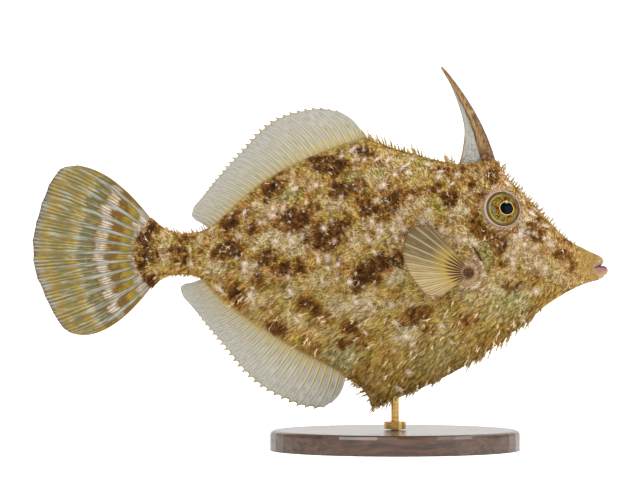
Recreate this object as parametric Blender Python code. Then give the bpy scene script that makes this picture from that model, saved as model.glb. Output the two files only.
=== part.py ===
"""Aiptasia-eating filefish, life size, held over a small oval base by one wire rod.

The fish faces +X, its back is +Z and its mid plane is Y = 0. The origin is the centre of
the underside of the whole model, on the surface that the base stands on. Sizes are in
millimetres, and make_object turns them into metres.

The body is one loft through back, belly and width curves, parted by thin cuts into head,
trunk, tail base and belly flap. Fins, spine, eyes and fin lobes are sunk into the body,
and a copy of the body that is grown by the gap cuts them clear of it.
"""

import math
import random

import bmesh
import bpy
from mathutils import Matrix, Vector

MM = 0.001
GAP = 0.3

# Body curves, each a list of (x, value)
BACK = [
    (-33.6, 46.4), (-31.8, 44.7), (-30.2, 43.8), (-27.6, 43.2), (-24.4, 43.5), (-22.0, 44.5),
    (-19.3, 46.7), (-15.2, 50.6), (-11.4, 53.6), (-5.8, 56.9), (0.1, 59.5), (5.2, 61.4),
    (8.7, 62.2), (11.2, 61.6), (14.2, 60.5), (19.0, 59.1), (24.4, 57.6), (27.6, 57.0),
    (31.0, 57.3), (34.6, 57.8), (36.0, 56.6), (37.9, 53.9), (41.8, 50.0), (46.4, 45.0),
    (48.4, 43.0), (51.0, 41.1), (53.3, 40.0), (55.8, 38.9),
]
BELLY = [
    (-33.6, 32.4), (-31.8, 34.2), (-30.2, 35.0), (-27.6, 35.2), (-24.9, 34.9), (-23.2, 34.0),
    (-21.6, 31.9), (-19.6, 29.9), (-16.7, 27.6), (-11.1, 23.9), (-4.5, 19.8), (2.1, 16.5),
    (5.5, 14.6), (7.8, 13.2), (9.4, 11.5), (10.1, 10.2), (10.5, 9.1), (11.3, 8.9),
    (12.8, 9.4), (16.9, 11.1), (21.9, 13.3), (27.6, 16.2), (33.6, 19.9), (40.0, 24.8),
    (45.6, 29.3), (48.7, 31.3), (51.0, 32.5), (53.3, 33.4), (55.8, 34.0),
]
HALF_WIDTH = [
    (-33.6, 1.0), (-30.0, 1.7), (-26.0, 2.1), (-21.0, 2.8), (-12.0, 4.4), (0.0, 6.0),
    (12.0, 7.0), (24.0, 7.3), (33.0, 6.9), (38.0, 6.2), (44.0, 4.8), (50.0, 3.3), (55.8, 1.8),
]
WIDEST_HEIGHT = [
    (-33.6, 39.4), (-26.0, 39.3), (-12.0, 41.5), (0.0, 42.5), (12.0, 42.5), (24.0, 42.0),
    (36.0, 42.5), (44.0, 39.8), (50.0, 37.4), (55.8, 36.5),
]

# How sharply the section closes below and above its widest height: 1 is an ellipse
KEEL_PINCH = [
    (-33.6, 1.0), (-24.0, 1.1), (-8.0, 1.5), (20.0, 1.55), (36.0, 1.35), (50.0, 1.05), (55.8, 1.0),
]
RIDGE_PINCH = 1.2
EDGE_HALF_THICKNESS = 0.9
EDGE_SHARE_OF_WIDTH = 0.6

# The tail base ends in an arc that the tail fin's rays grow from
TAIL_END_X = -33.6
TAIL_BOW = 3.7
TAIL_BOW_START_X = -26.0

# Loft stations, as (from x, to x, steps), and steps from the widest height to each edge
STATION_RUNS = [
    (-33.6, -22.0, 8), (-22.0, 7.0, 9), (7.0, 9.4, 2), (9.4, 11.4, 4), (11.4, 33.0, 7),
    (33.0, 38.5, 5), (38.5, 55.8, 9),
]
QUARTER_STEPS = 5

# Cuts that part the body, each a point (x, z) and a direction (x, z) along the cut
TAIL_CUT = ((-22.8, 39.0), (0.0, 1.0))
HEAD_CUT = ((26.4, 57.4), (12.0, -35.0))
FLAP_CUT = ((4.0, 16.8), (38.0, 9.8))

# Eye, with the rolled lid round it
EYE_X, EYE_Z = 36.3, 48.4
EYE_RADIUS = 3.0
EYE_DEPTH = 2.5
EYE_SINK = 1.5
LID_RADIUS = EYE_RADIUS + 0.5
LID_THICKNESS = 0.42

# Mouth: its corner, the wedge cut between the lips, and the rolls of the lips round it
MOUTH_X, MOUTH_Z = 55.9, 36.6
MOUTH_WEDGE = [(-0.35, 0.0), (2.2, 0.5), (2.2, 1.7), (-0.35, 0.2)]
LIP_HALF_WIDTH = 1.2
LIP_SETBACK = 0.9
UPPER_LIP = {"reach": 0.75, "rise": 1.2, "radius": 1.0}
LOWER_LIP = {"reach": 1.6, "rise": -1.0, "radius": 1.3}

NOSTRILS = [(41.2, 47.2), (42.2, 46.0)]
NOSTRIL_RADIUS = 0.3
NOSTRIL_DEPTH = 0.5

# Gill opening, a short slanting slit in front of the pectoral fin
GILL_TOP, GILL_BOTTOM = (30.9, 41.0), (33.2, 37.6)
GILL_WIDTH, GILL_DEPTH = 0.55, 0.9

# Pectoral fin, on a lobe and a palm, and the fold of skin in front of the lobe
PECTORAL_X, PECTORAL_Z = 29.2, 35.7
LOBE_RADIUS, LOBE_DEPTH = 2.2, 1.3
PALM_RADIUS, PALM_DEPTH = 2.5, 0.85
PALM_SHIFT = (-1.6, 0.8)
FOLD_RADIUS = LOBE_RADIUS + 0.95
FOLD_THICKNESS = 0.5
FOLD_HALF_ANGLE = 80.0
PECTORAL_RAYS = 11
PECTORAL_START = 0.35
PECTORAL_LIFT = 4.4
PECTORAL_CUP = 0.8
PECTORAL_NORMAL = (0.33, 1.0)
PECTORAL_BASE = [(28.6, 38.5), (26.6, 37.4), (25.7, 35.6), (26.3, 33.6), (27.9, 32.6)]
PECTORAL_TIPS = [
    (22.4, 43.9), (19.6, 44.9), (17.6, 43.9), (16.5, 41.6), (16.2, 39.0), (17.2, 36.0),
    (19.0, 33.2), (21.4, 31.1), (23.4, 31.0),
]

# Soft fins of the back and the belly: where the rays are rooted, and where they end
FIN_ROOT_SINK = 1.2
DORSAL_ROOTS_X = (8.4, -21.6)
DORSAL_TIPS = [
    (3.6, 67.8), (0.0, 68.3), (-4.0, 67.7), (-8.0, 66.4), (-11.6, 64.0), (-14.8, 60.6),
    (-18.0, 57.2), (-21.2, 53.6), (-23.8, 50.4), (-25.4, 48.4), (-25.7, 47.0), (-24.9, 45.9),
]
DORSAL_RAYS = 27
DORSAL_BULGE = (1.9, 1.5)
ANAL_ROOTS_X = (5.2, -22.8)
ANAL_TIPS = [
    (2.6, 9.6), (0.2, 8.5), (-3.2, 8.9), (-7.0, 10.4), (-11.6, 12.9), (-15.4, 16.3),
    (-18.8, 20.5), (-22.4, 24.7), (-25.6, 28.6), (-27.6, 31.0), (-28.0, 32.4), (-27.1, 33.3),
]
ANAL_RAYS = 26
ANAL_BULGE = (1.3, -0.9)

# Tail fin
TAIL_ROOT_INSET = 0.15
TAIL_TIPS = [
    (-48.4, 56.9), (-50.8, 56.7), (-53.0, 55.0), (-54.9, 51.4), (-56.5, 46.6), (-57.5, 41.6),
    (-57.3, 37.2), (-55.4, 31.6), (-53.3, 27.2), (-51.3, 24.3), (-49.4, 23.2), (-47.4, 22.9),
]
TAIL_RAYS = 12
TAIL_EDGE_BULGE = 4.6

# Half thickness of membrane and ray at the root and the tip, and the tips' reach
EDGE_FIN_SIZES = {
    "web_root": 0.30, "web_tip": 0.25, "ray_root": 0.62, "ray_tip": 0.32, "reach": 0.35,
}
TAIL_FIN_SIZES = {
    "web_root": 0.42, "web_tip": 0.25, "ray_root": 0.75, "ray_tip": 0.34, "reach": 0.15,
}
PECTORAL_FIN_SIZES = {
    "web_root": 0.28, "web_tip": 0.25, "ray_root": 0.50, "ray_tip": 0.30, "reach": 0.25,
}

# A ray's columns, as (offset in ray pitches, height at the root, height at the tip, reach)
PLAIN_RAY = [(-0.24, 0, 0, 0), (0, 1, 1, 1), (0.24, 0, 0, 0)]
SPLIT_RAY = [(-0.30, 0, 0, 0), (-0.16, 0.5, 1, 1), (0, 1, 0, 0), (0.16, 0.5, 1, 1), (0.30, 0, 0, 0)]

# First dorsal spine, as half sizes fore and aft and across, and the skin behind it
SPINE_BASE, SPINE_MIDDLE, SPINE_TIP = (33.9, 56.4), (30.5, 66.5), (24.2, 76.7)
SPINE_BASE_HALF = (1.5, 0.95)
SPINE_TIP_HALF = (0.2, 0.14)
SPINE_TAPER = 0.8
WEB_REAR_EDGE = [(27.5, 56.2), (28.5, 60.0), (28.9, 63.7), (28.5, 66.3), (27.6, 69.3), (26.6, 71.6)]
WEB_SPAN = (0.02, 0.8)
WEB_HALF_THICKNESS = 0.27

# Skin tassels: radius at the root, how deep it is sunk, and the shape of the taper
TASSEL_RADIUS = 0.27
TASSEL_SINK = 0.45
TASSEL_WAIST = (0.45, 0.72)
TASSEL_SIDES = 3
TASSEL_BEND = 0.12
TASSEL_CUT_CLEARANCE = 0.6
TASSEL_SEED = 11

# Runs of tassels on the back and the belly: from x, to x, count, lean (x, z), lengths
BACK_TASSELS = [
    (-30.6, -23.8, 8, (-0.35, 0.95), 0.9, 1.4),
    (9.4, 16.2, 10, (-0.40, 0.95), 0.9, 1.7),
    (17.4, 21.4, 5, (-0.25, 1.00), 0.9, 1.6),
    (23.6, 25.6, 3, (-0.15, 1.00), 1.2, 1.8),
    (36.0, 42.6, 11, (0.65, 0.85), 0.9, 1.5),
    (44.0, 46.4, 3, (0.65, 0.85), 0.9, 1.3),
    (48.8, 49.6, 1, (0.60, 0.85), 0.7, 0.8),
]
BELLY_TASSELS = [
    (-31.0, -24.4, 7, (-0.50, -0.90), 0.7, 1.2),
    (7.6, 10.0, 6, (-0.95, -0.40), 0.9, 1.6),
    (11.2, 13.6, 3, (-0.75, -0.75), 1.4, 2.0),
    (16.8, 24.0, 6, (-0.75, -0.75), 0.9, 1.4),
    (25.2, 30.0, 4, (-0.70, -0.75), 0.8, 1.2),
    (30.4, 35.2, 8, (-0.65, -0.75), 1.2, 1.9),
    (36.0, 38.6, 5, (-0.60, -0.80), 1.3, 2.1),
    (39.6, 43.8, 6, (-0.50, -0.85), 1.1, 2.0),
]
TASSEL_SPREAD = 0.25

# Tassels scattered over the flanks, and bare places as (x, z, radius)
FLANK_TASSELS = 46
FLANK_TASSEL_X = (-20.0, 48.0)
FLANK_TASSEL_EDGE = 2.2
FLANK_TASSEL_SPACING = 3.6
FLANK_TASSEL_LENGTHS = (0.9, 1.3)
FLANK_LEAN = (-0.55, 0.35)
FLANK_MIN_DEPTH = 6.0
FLANK_BARE = [(EYE_X, EYE_Z, 5.4), (PECTORAL_X, PECTORAL_Z, 5.2), (21.0, 38.0, 7.5), (33.0, 39.0, 4.0)]

# Stand: an oval base, a collar, and a wire rod that runs up into the belly
ROD_X = 15.0
ROD_RADIUS = 0.8
ROD_TOP = 24.0
BASE_LENGTH, BASE_WIDTH, BASE_HEIGHT, BASE_BEVEL = 50.0, 34.0, 4.0, 0.8
BASE_SEGMENTS = 40
BASE_SOCKET_FLOOR = 1.5
COLLAR_RADIUS, COLLAR_HEIGHT, COLLAR_SEGMENTS = 2.2, 1.4, 20

# Base colour, roughness and metallic value of each material
FINISHES = {
    "skin": ((0.34, 0.22, 0.09), 0.75, 0.0),
    "fin": ((0.52, 0.49, 0.38), 0.50, 0.0),
    "pectoral": ((0.40, 0.29, 0.12), 0.50, 0.0),
    "tail": ((0.33, 0.27, 0.12), 0.50, 0.0),
    "spine": ((0.37, 0.23, 0.09), 0.50, 0.0),
    "eye": ((0.25, 0.16, 0.04), 0.15, 0.0),
    "wood": ((0.06, 0.03, 0.02), 0.45, 0.0),
    "brass": ((0.70, 0.53, 0.26), 0.30, 1.0),
}


def smooth_line(points):
    """Returns f(x), a curve through the points that never overshoots them."""
    xs = [p[0] for p in points]
    ys = [p[1] for p in points]
    steps = [b - a for a, b in zip(xs, xs[1:])]
    slopes = [(b - a) / h for a, b, h in zip(ys, ys[1:], steps)]
    tangents = [slopes[0]]
    for left, right, h_left, h_right in zip(slopes, slopes[1:], steps, steps[1:]):
        if left * right <= 0:
            tangents.append(0.0)
        else:
            w_left, w_right = 2 * h_right + h_left, h_right + 2 * h_left
            tangents.append((w_left + w_right) / (w_left / left + w_right / right))
    tangents.append(slopes[-1])

    def value(x):
        x = min(max(x, xs[0]), xs[-1])
        i = max(k for k in range(len(steps)) if xs[k] <= x)
        t = (x - xs[i]) / steps[i]
        return (
            (1 + 2 * t) * (1 - t) ** 2 * ys[i]
            + t * (1 - t) ** 2 * tangents[i] * steps[i]
            + t * t * (3 - 2 * t) * ys[i + 1]
            + t * t * (t - 1) * tangents[i + 1] * steps[i]
        )

    return value


def curve_along(points):
    """Returns g(t), t from 0 to 1, a smooth curve run evenly through points in a plane."""
    lengths = [0.0]
    for a, b in zip(points, points[1:]):
        lengths.append(lengths[-1] + math.dist(a, b))
    shares = [length / lengths[-1] for length in lengths]
    x_of = smooth_line(list(zip(shares, [p[0] for p in points])))
    z_of = smooth_line(list(zip(shares, [p[1] for p in points])))
    return lambda t: (x_of(t), z_of(t))


back = smooth_line(BACK)
belly = smooth_line(BELLY)
half_width = smooth_line(HALF_WIDTH)
widest_height = smooth_line(WIDEST_HEIGHT)
keel_pinch = smooth_line(KEEL_PINCH)


def skin_y(x, z, grow=0.0):
    """Half the body's thickness at a place in the side view."""
    middle = widest_height(x)
    if z >= middle:
        u, pinch = (z - middle) / (back(x) + grow - middle), RIDGE_PINCH
    else:
        u, pinch = (middle - z) / (middle - belly(x) + grow), keel_pinch(x)
    u = min(u, 1.0)
    edge = min(EDGE_HALF_THICKNESS, EDGE_SHARE_OF_WIDTH * half_width(x))
    flesh = (half_width(x) - edge) * (1 - u * u) ** (pinch / 2)
    return flesh + edge * math.sqrt(1 - u**8) + grow * math.sqrt(1 - u**4)


def tail_bow(x, z):
    """How far the tail base bows back at a height, so that it ends in an arc."""
    run = max(0.0, (TAIL_BOW_START_X - x) / (TAIL_BOW_START_X - TAIL_END_X))
    half = (back(x) - belly(x)) / 2
    off_centre = min(1.0, abs(z - belly(x) - half) / half)
    return TAIL_BOW * run**2 * (1 - off_centre**2)


def body_ring(x, grow):
    """One station of the loft on the +Y side, from the belly up to the back."""
    middle = widest_height(x)
    down, up = middle - belly(x) + grow, back(x) + grow - middle
    ring = []
    for i in range(-QUARTER_STEPS, QUARTER_STEPS + 1):
        u = math.sin(math.radians(90 * i / QUARTER_STEPS))
        z = middle + u * (up if u > 0 else down)
        ring.append(Vector((x - tail_bow(x, z), skin_y(x, z, grow), z)))
    return ring


def body_stations():
    """The x of every station of the loft."""
    xs = [STATION_RUNS[0][0]]
    for start, end, count in STATION_RUNS:
        xs += [start + (end - start) * (i + 1) / count for i in range(count)]
    return xs


def body_mesh(grow=0.0):
    """The whole body as one closed loft. grow makes the larger copy that cuts fins clear."""
    bm = bmesh.new()
    stations = body_stations()
    stations[0] -= grow
    stations[-1] += grow
    rings = []
    for x in stations:
        left = body_ring(x, grow)
        right = [Vector((p.x, -p.y, p.z)) for p in reversed(left[1:-1])]
        rings.append([bm.verts.new(p) for p in left + right])
    join_rings(bm, rings)
    count = len(rings[0])
    for ring in (rings[0], rings[-1]):
        for i in range(count // 2):
            corners = [ring[i], ring[i + 1], ring[-i - 1], ring[-i % count]]
            bm.faces.new(list(dict.fromkeys(corners)))
    bmesh.ops.recalc_face_normals(bm, faces=bm.faces)
    return bm


def join_rings(bm, rings):
    """Makes the faces between each closed ring of vertices and the next."""
    count = len(rings[0])
    for ring, following in zip(rings, rings[1:]):
        for i in range(count):
            j = (i + 1) % count
            bm.faces.new((ring[i], ring[j], following[j], following[i]))


def cap_tube(bm, rings):
    """Closes the two ends of a tube of rings, and points its faces outwards."""
    bm.faces.new(rings[0])
    bm.faces.new(rings[-1])
    bmesh.ops.recalc_face_normals(bm, faces=bm.faces)


def cut_away(bm, line, keep):
    """Cuts the body along a line of the side view and keeps the side that keep points to."""
    (x, z), (run_x, run_z) = line
    normal = Vector((run_z, 0, -run_x)).normalized()
    if normal.dot(Vector(keep)) < 0:
        normal.negate()
    bmesh.ops.bisect_plane(
        bm, geom=bm.verts[:] + bm.edges[:] + bm.faces[:], plane_no=normal, clear_inner=True,
        plane_co=Vector((x, 0, z)) + normal * GAP / 2,
    )
    bmesh.ops.holes_fill(bm, edges=[e for e in bm.edges if e.is_boundary])
    bmesh.ops.recalc_face_normals(bm, faces=bm.faces)


def finish(name):
    """The material of one name, made when it is first asked for."""
    found = bpy.data.materials.get(name)
    if found:
        return found
    colour, roughness, metallic = FINISHES[name]
    made = bpy.data.materials.new(name)
    made.use_nodes = True
    shader = made.node_tree.nodes["Principled BSDF"]
    shader.inputs["Base Color"].default_value = (*colour, 1.0)
    shader.inputs["Roughness"].default_value = roughness
    shader.inputs["Metallic"].default_value = metallic
    return made


def make_object(name, bm, material, sharp_angle=40.0):
    """Turns a mesh in millimetres into a named object in metres, with its material."""
    bmesh.ops.triangulate(bm, faces=bm.faces)
    bm.transform(Matrix.Scale(MM, 4))
    mesh = bpy.data.meshes.new(name)
    bm.to_mesh(mesh)
    bm.free()
    mesh.shade_smooth()
    mesh.set_sharp_from_angle(angle=math.radians(sharp_angle))
    mesh.materials.append(finish(material))
    obj = bpy.data.objects.new(name, mesh)
    bpy.context.scene.collection.objects.link(obj)
    return obj


def boolean(obj, others, operation):
    """Joins other objects to obj, or cuts them from it, and removes them."""
    group = bpy.data.collections.new("pieces")
    bpy.context.scene.collection.children.link(group)
    for other in others:
        bpy.context.scene.collection.objects.unlink(other)
        group.objects.link(other)
    step = obj.modifiers.new("boolean", "BOOLEAN")
    step.operation = operation
    step.operand_type = "COLLECTION"
    step.collection = group
    step.solver = "EXACT"
    bpy.context.view_layer.update()
    shaped = obj.evaluated_get(bpy.context.evaluated_depsgraph_get())
    old, obj.data = obj.data, bpy.data.meshes.new_from_object(shaped)
    obj.modifiers.clear()
    bpy.data.meshes.remove(old)
    for other in others:
        bpy.data.meshes.remove(other.data)
    bpy.data.collections.remove(group)
    keep_largest(obj)


def keep_largest(obj, weld=2e-6):
    """Keeps only the largest closed surface of a mesh, and welds what a cut left doubled."""
    bm = bmesh.new()
    bm.from_mesh(obj.data)
    bmesh.ops.remove_doubles(bm, verts=bm.verts, dist=weld)
    bmesh.ops.dissolve_degenerate(bm, edges=bm.edges, dist=weld)
    bmesh.ops.triangulate(bm, faces=bm.faces)
    unseen, islands = set(bm.verts), []
    while unseen:
        island, rim = set(), [unseen.pop()]
        while rim:
            vert = rim.pop()
            island.add(vert)
            near = {e.other_vert(vert) for e in vert.link_edges} & unseen
            unseen -= near
            rim.extend(near)
        islands.append(island)
    largest = max(islands, key=len)
    bmesh.ops.delete(bm, geom=[v for v in bm.verts if v not in largest], context="VERTS")
    bm.to_mesh(obj.data)
    bm.free()


def surface_frame(x, z, side, step=0.4):
    """A point on the flank, and the flank's outward direction there."""
    along_x = Vector((2 * step, side * (skin_y(x + step, z) - skin_y(x - step, z)), 0))
    along_z = Vector((0, side * (skin_y(x, z + step) - skin_y(x, z - step)), 2 * step))
    outward = along_x.cross(along_z).normalized()
    if outward.y * side < 0:
        outward.negate()
    return Vector((x, side * skin_y(x, z), z)), outward


def turned_to(outward):
    """Rotation that turns +Z to a direction, with +X kept as far forward as it can be."""
    ahead = Vector((1, 0, 0))
    forward = (ahead - outward * ahead.dot(outward)).normalized()
    return Matrix((forward, outward.cross(forward), outward)).transposed().to_4x4()


def ellipsoid(name, centre, outward, radius, depth, material, segments=16, rings=8):
    """A flattened ball whose short axis points outward."""
    bm = bmesh.new()
    bmesh.ops.create_uvsphere(bm, u_segments=segments, v_segments=rings, radius=1.0)
    size = Matrix.Diagonal((radius, radius, depth, 1))
    bm.transform(Matrix.Translation(centre) @ turned_to(outward) @ size)
    return make_object(name, bm, material)


def ring_tube(name, centre, outward, radius, thickness, half_angle=180.0, steps=16, sides=5):
    """A round tube bent into a ring that lies on the skin, or into an arc round its front."""
    bm = bmesh.new()
    whole = half_angle >= 180
    place = Matrix.Translation(centre) @ turned_to(outward)
    rings = []
    for i in range(steps if whole else steps + 1):
        turn = math.radians(half_angle * (2 * i / steps - 1))
        spoke = Vector((math.cos(turn), math.sin(turn), 0))
        ring = []
        for k in range(sides):
            roll = math.tau * k / sides
            lift = Vector((0, 0, thickness * math.sin(roll)))
            ring.append(bm.verts.new(place @ (spoke * (radius + thickness * math.cos(roll)) + lift)))
        rings.append(ring)
    if whole:
        join_rings(bm, rings + rings[:1])
        bmesh.ops.recalc_face_normals(bm, faces=bm.faces)
    else:
        join_rings(bm, rings)
        cap_tube(bm, rings)
    return make_object(name, bm, "skin")


def body_nodes():
    """Parts the body into its four nodes."""
    up, down, front, rear = (0, 0, 1), (0, 0, -1), (1, 0, 0), (-1, 0, 0)
    cuts = {
        "tail_base": [(TAIL_CUT, rear)],
        "trunk": [(TAIL_CUT, front), (HEAD_CUT, rear), (FLAP_CUT, up)],
        "head": [(HEAD_CUT, front), (FLAP_CUT, up)],
        "belly_flap": [(FLAP_CUT, down)],
    }
    nodes = {}
    for name, planes in cuts.items():
        bm = body_mesh()
        for line, keep in planes:
            cut_away(bm, line, keep)
        nodes[name] = make_object(name, bm, "skin")
    return nodes


def eyes():
    """Makes both eyeballs, and returns the lids and the cutters of the sockets."""
    sockets, lids = [], []
    for side, word in ((1, "left"), (-1, "right")):
        skin, outward = surface_frame(EYE_X, EYE_Z, side)
        centre = skin - outward * EYE_SINK
        ellipsoid(f"eye_{word}", centre, outward, EYE_RADIUS, EYE_DEPTH, "eye")
        sockets.append(ellipsoid("socket", centre, outward, EYE_RADIUS + GAP, EYE_DEPTH + GAP, "skin"))
        lids.append(ring_tube("lid", skin, outward, LID_RADIUS, LID_THICKNESS))
    return lids, sockets


def lip(size, steps=6, sides=8):
    """A soft roll round the end of the snout, thinner at the corners of the mouth."""
    bm = bmesh.new()
    rings = []
    for i in range(steps + 1):
        turn = math.radians(180 * i / steps - 90)
        middle_share = 0.5 + 0.5 * math.cos(turn)
        radius = size["radius"] * (0.6 + 0.4 * middle_share)
        centre = Vector((
            MOUTH_X - LIP_SETBACK + (LIP_SETBACK + size["reach"] - size["radius"]) * math.cos(turn),
            LIP_HALF_WIDTH * math.sin(turn),
            MOUTH_Z + size["rise"] * middle_share - 0.25 * (1 - middle_share),
        ))
        spoke = Vector((math.cos(turn), math.sin(turn), 0))
        ring = []
        for k in range(sides):
            roll = math.tau * k / sides
            offset = spoke * radius * math.cos(roll) + Vector((0, 0, radius * math.sin(roll)))
            ring.append(bm.verts.new(centre + offset))
        rings.append(ring)
    join_rings(bm, rings)
    cap_tube(bm, rings)
    return make_object("lip", bm, "skin")


def mouth_cutter():
    """A wedge, taller in front, that opens the mouth between the lips."""
    bm = bmesh.new()
    half = LIP_HALF_WIDTH + 1.5
    rings = [
        [bm.verts.new((MOUTH_X + x, y, MOUTH_Z + z)) for x, z in MOUTH_WEDGE] for y in (-half, half)
    ]
    join_rings(bm, rings)
    cap_tube(bm, rings)
    return make_object("mouth", bm, "skin")


def nostril_cutter(x, z, side):
    """A short round pit, square to the skin."""
    skin, outward = surface_frame(x, z, side)
    bm = bmesh.new()
    bmesh.ops.create_cone(
        bm, cap_ends=True, segments=8, radius1=NOSTRIL_RADIUS, radius2=NOSTRIL_RADIUS,
        depth=2 * NOSTRIL_DEPTH, matrix=Matrix.Translation(skin) @ turned_to(outward),
    )
    return make_object("nostril", bm, "skin")


def gill_cutter(side):
    """A thin slanting blade that opens the gill slit."""
    middle_x, middle_z = (GILL_TOP[0] + GILL_BOTTOM[0]) / 2, (GILL_TOP[1] + GILL_BOTTOM[1]) / 2
    skin, outward = surface_frame(middle_x, middle_z, side)
    along = Vector((GILL_BOTTOM[0] - GILL_TOP[0], 0, GILL_BOTTOM[1] - GILL_TOP[1]))
    across = outward.cross(along).normalized()
    length = along.length
    along = across.cross(outward).normalized()
    axes = Matrix((across * GILL_WIDTH, outward * 2 * GILL_DEPTH, along * length)).transposed()
    bm = bmesh.new()
    bmesh.ops.create_cube(bm, size=1.0)
    bm.transform(Matrix.Translation(skin) @ axes.to_4x4())
    bmesh.ops.recalc_face_normals(bm, faces=bm.faces)
    return make_object("gill", bm, "skin")


def pectoral_fold(side, grow=0.0):
    """The fold of skin round the front of the pectoral fin's lobe."""
    skin, outward = surface_frame(PECTORAL_X, PECTORAL_Z, side)
    thickness = FOLD_THICKNESS + grow
    return ring_tube("fold", skin, outward, FOLD_RADIUS, thickness, FOLD_HALF_ANGLE, steps=10)


def ray_columns(rays, pattern):
    """Columns across a fin, as (t, ray height at the root, at the tip, reach of the tip)."""
    columns = []
    for i in range(rays):
        for offset, root, tip, reach in pattern:
            t = (i + offset) / (rays - 1)
            if 0 <= t <= 1:
                columns.append((t, root, tip, reach))
    return columns


def stands_upright(flat, _):
    """The mid plane of the body, for a fin that stands in it."""
    return Vector((flat.x, 0, flat.y)), Vector((0, 1, 0))


def ray_fin(root_of, tip_of, bulge_of, columns, rows, sizes, place=stands_upright):
    """A thin plate whose rays are raised on both faces, alike in their triangles.

    Each column bends from a root curve to a tip curve, pushed out half way by bulge_of(t).
    place(flat, t) turns a point of the side view into the fin's mid surface and its normal.
    """
    bm = bmesh.new()
    left, right = [], []
    for t, root_ridge, tip_ridge, reach in columns:
        root, tip = Vector(root_of(t)), Vector(tip_of(t))
        tip += (tip - root).normalized() * sizes["reach"] * reach
        middle = (root + tip) / 2 + Vector(bulge_of(t))
        column = ([], [])
        for j in range(rows + 1):
            s = j / rows
            flat = root * (1 - s) ** 2 + middle * 2 * s * (1 - s) + tip * s * s
            point, outward = place(flat, t)
            web = sizes["web_root"] * (1 - s) + sizes["web_tip"] * s
            ray = sizes["ray_root"] * (1 - s) + sizes["ray_tip"] * s
            half = web + (ray - web) * (root_ridge * (1 - s) + tip_ridge * s)
            column[0].append(bm.verts.new(point + outward * half))
            column[1].append(bm.verts.new(point - outward * half))
        left.append(column[0])
        right.append(column[1])
    close_plate(bm, left, right)
    return bm


def close_plate(bm, left, right):
    """Makes the faces of two like grids of vertices and of the rim between them."""
    last_column, last_row = len(left) - 1, len(left[0]) - 1
    for c in range(last_column):
        for j in range(last_row):
            for sheet in (left, right):
                bm.faces.new((sheet[c][j], sheet[c + 1][j], sheet[c + 1][j + 1]))
                bm.faces.new((sheet[c][j], sheet[c + 1][j + 1], sheet[c][j + 1]))
        for j in (0, last_row):
            bm.faces.new((left[c][j], left[c + 1][j], right[c + 1][j], right[c][j]))
    for c in (0, last_column):
        for j in range(last_row):
            bm.faces.new((left[c][j], left[c][j + 1], right[c][j + 1], right[c][j]))
    bmesh.ops.recalc_face_normals(bm, faces=bm.faces)


def edge_fin(name, line, roots_x, sink, tips, rays, bulge):
    """A soft fin that stands on the back or hangs from the belly, with its roots sunk in."""

    def root_of(t):
        x = roots_x[0] + (roots_x[1] - roots_x[0]) * t
        return (x, line(x) + sink)

    def bulge_of(t):
        return (bulge[0] * (1 - t) ** 2, bulge[1] * (1 - t) + 0.6 * math.copysign(t, bulge[1]))

    columns = ray_columns(rays, PLAIN_RAY)
    plate = ray_fin(root_of, curve_along(tips), bulge_of, columns, 4, EDGE_FIN_SIZES)
    return make_object(name, plate, "fin")


def tail_fin():
    """The fan-shaped tail fin, whose rays split in two on their way out."""
    top, bottom = back(TAIL_END_X) - TAIL_ROOT_INSET, belly(TAIL_END_X) + TAIL_ROOT_INSET

    def root_of(t):
        z = top + (bottom - top) * t
        return (TAIL_END_X - tail_bow(TAIL_END_X, z), z)

    def bulge_of(t):
        lean = 1 - 2 * t
        return (-0.3 * abs(lean), TAIL_EDGE_BULGE * lean * lean * lean)

    columns = ray_columns(TAIL_RAYS, SPLIT_RAY)
    plate = ray_fin(root_of, curve_along(TAIL_TIPS), bulge_of, columns, 6, TAIL_FIN_SIZES)
    return make_object("tail_fin", plate, "tail")


def pectoral_fin(side, word):
    """A small fan that leans away from the flank, on a palm and a round fleshy lobe."""
    skin, outward = surface_frame(PECTORAL_X, PECTORAL_Z, side)
    fan_normal = Vector((PECTORAL_NORMAL[0], side * PECTORAL_NORMAL[1], 0)).normalized()
    reach = math.dist((PECTORAL_X, PECTORAL_Z), PECTORAL_TIPS[4])

    def place(flat, t):
        out = math.dist((PECTORAL_X, PECTORAL_Z), flat) / reach
        cup = PECTORAL_CUP * out**2 * math.cos(math.pi * (t - 0.5))
        y = abs(skin.y) + PECTORAL_START + PECTORAL_LIFT * out - cup
        return Vector((flat.x, side * y, flat.y)), fan_normal

    plate = ray_fin(
        curve_along(PECTORAL_BASE), curve_along(PECTORAL_TIPS), lambda t: (0, 0.5 - t),
        ray_columns(PECTORAL_RAYS, PLAIN_RAY), 4, PECTORAL_FIN_SIZES, place,
    )
    fin = make_object(f"pectoral_fin_{word}", plate, "pectoral")
    lobe = ellipsoid("lobe", skin, outward, LOBE_RADIUS, LOBE_DEPTH, "pectoral", 12, 6)
    palm_centre = skin + Vector((PALM_SHIFT[0], side * PALM_SHIFT[1], 0))
    palm = ellipsoid("palm", palm_centre, fan_normal, PALM_RADIUS, PALM_DEPTH, "pectoral", 14, 6)
    boolean(fin, [lobe, palm], "UNION")
    boolean(fin, [make_object("grown_body", body_mesh(GAP), "skin"), pectoral_fold(side, GAP)],
            "DIFFERENCE")


def spine_axis(t):
    """A point on the dorsal spine's curved axis, t from 0 at the base to 1 at the tip."""
    base, middle, tip = Vector(SPINE_BASE), Vector(SPINE_MIDDLE), Vector(SPINE_TIP)
    control = middle * 2 - (base + tip) / 2
    return base * (1 - t) ** 2 + control * 2 * t * (1 - t) + tip * t * t


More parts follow.
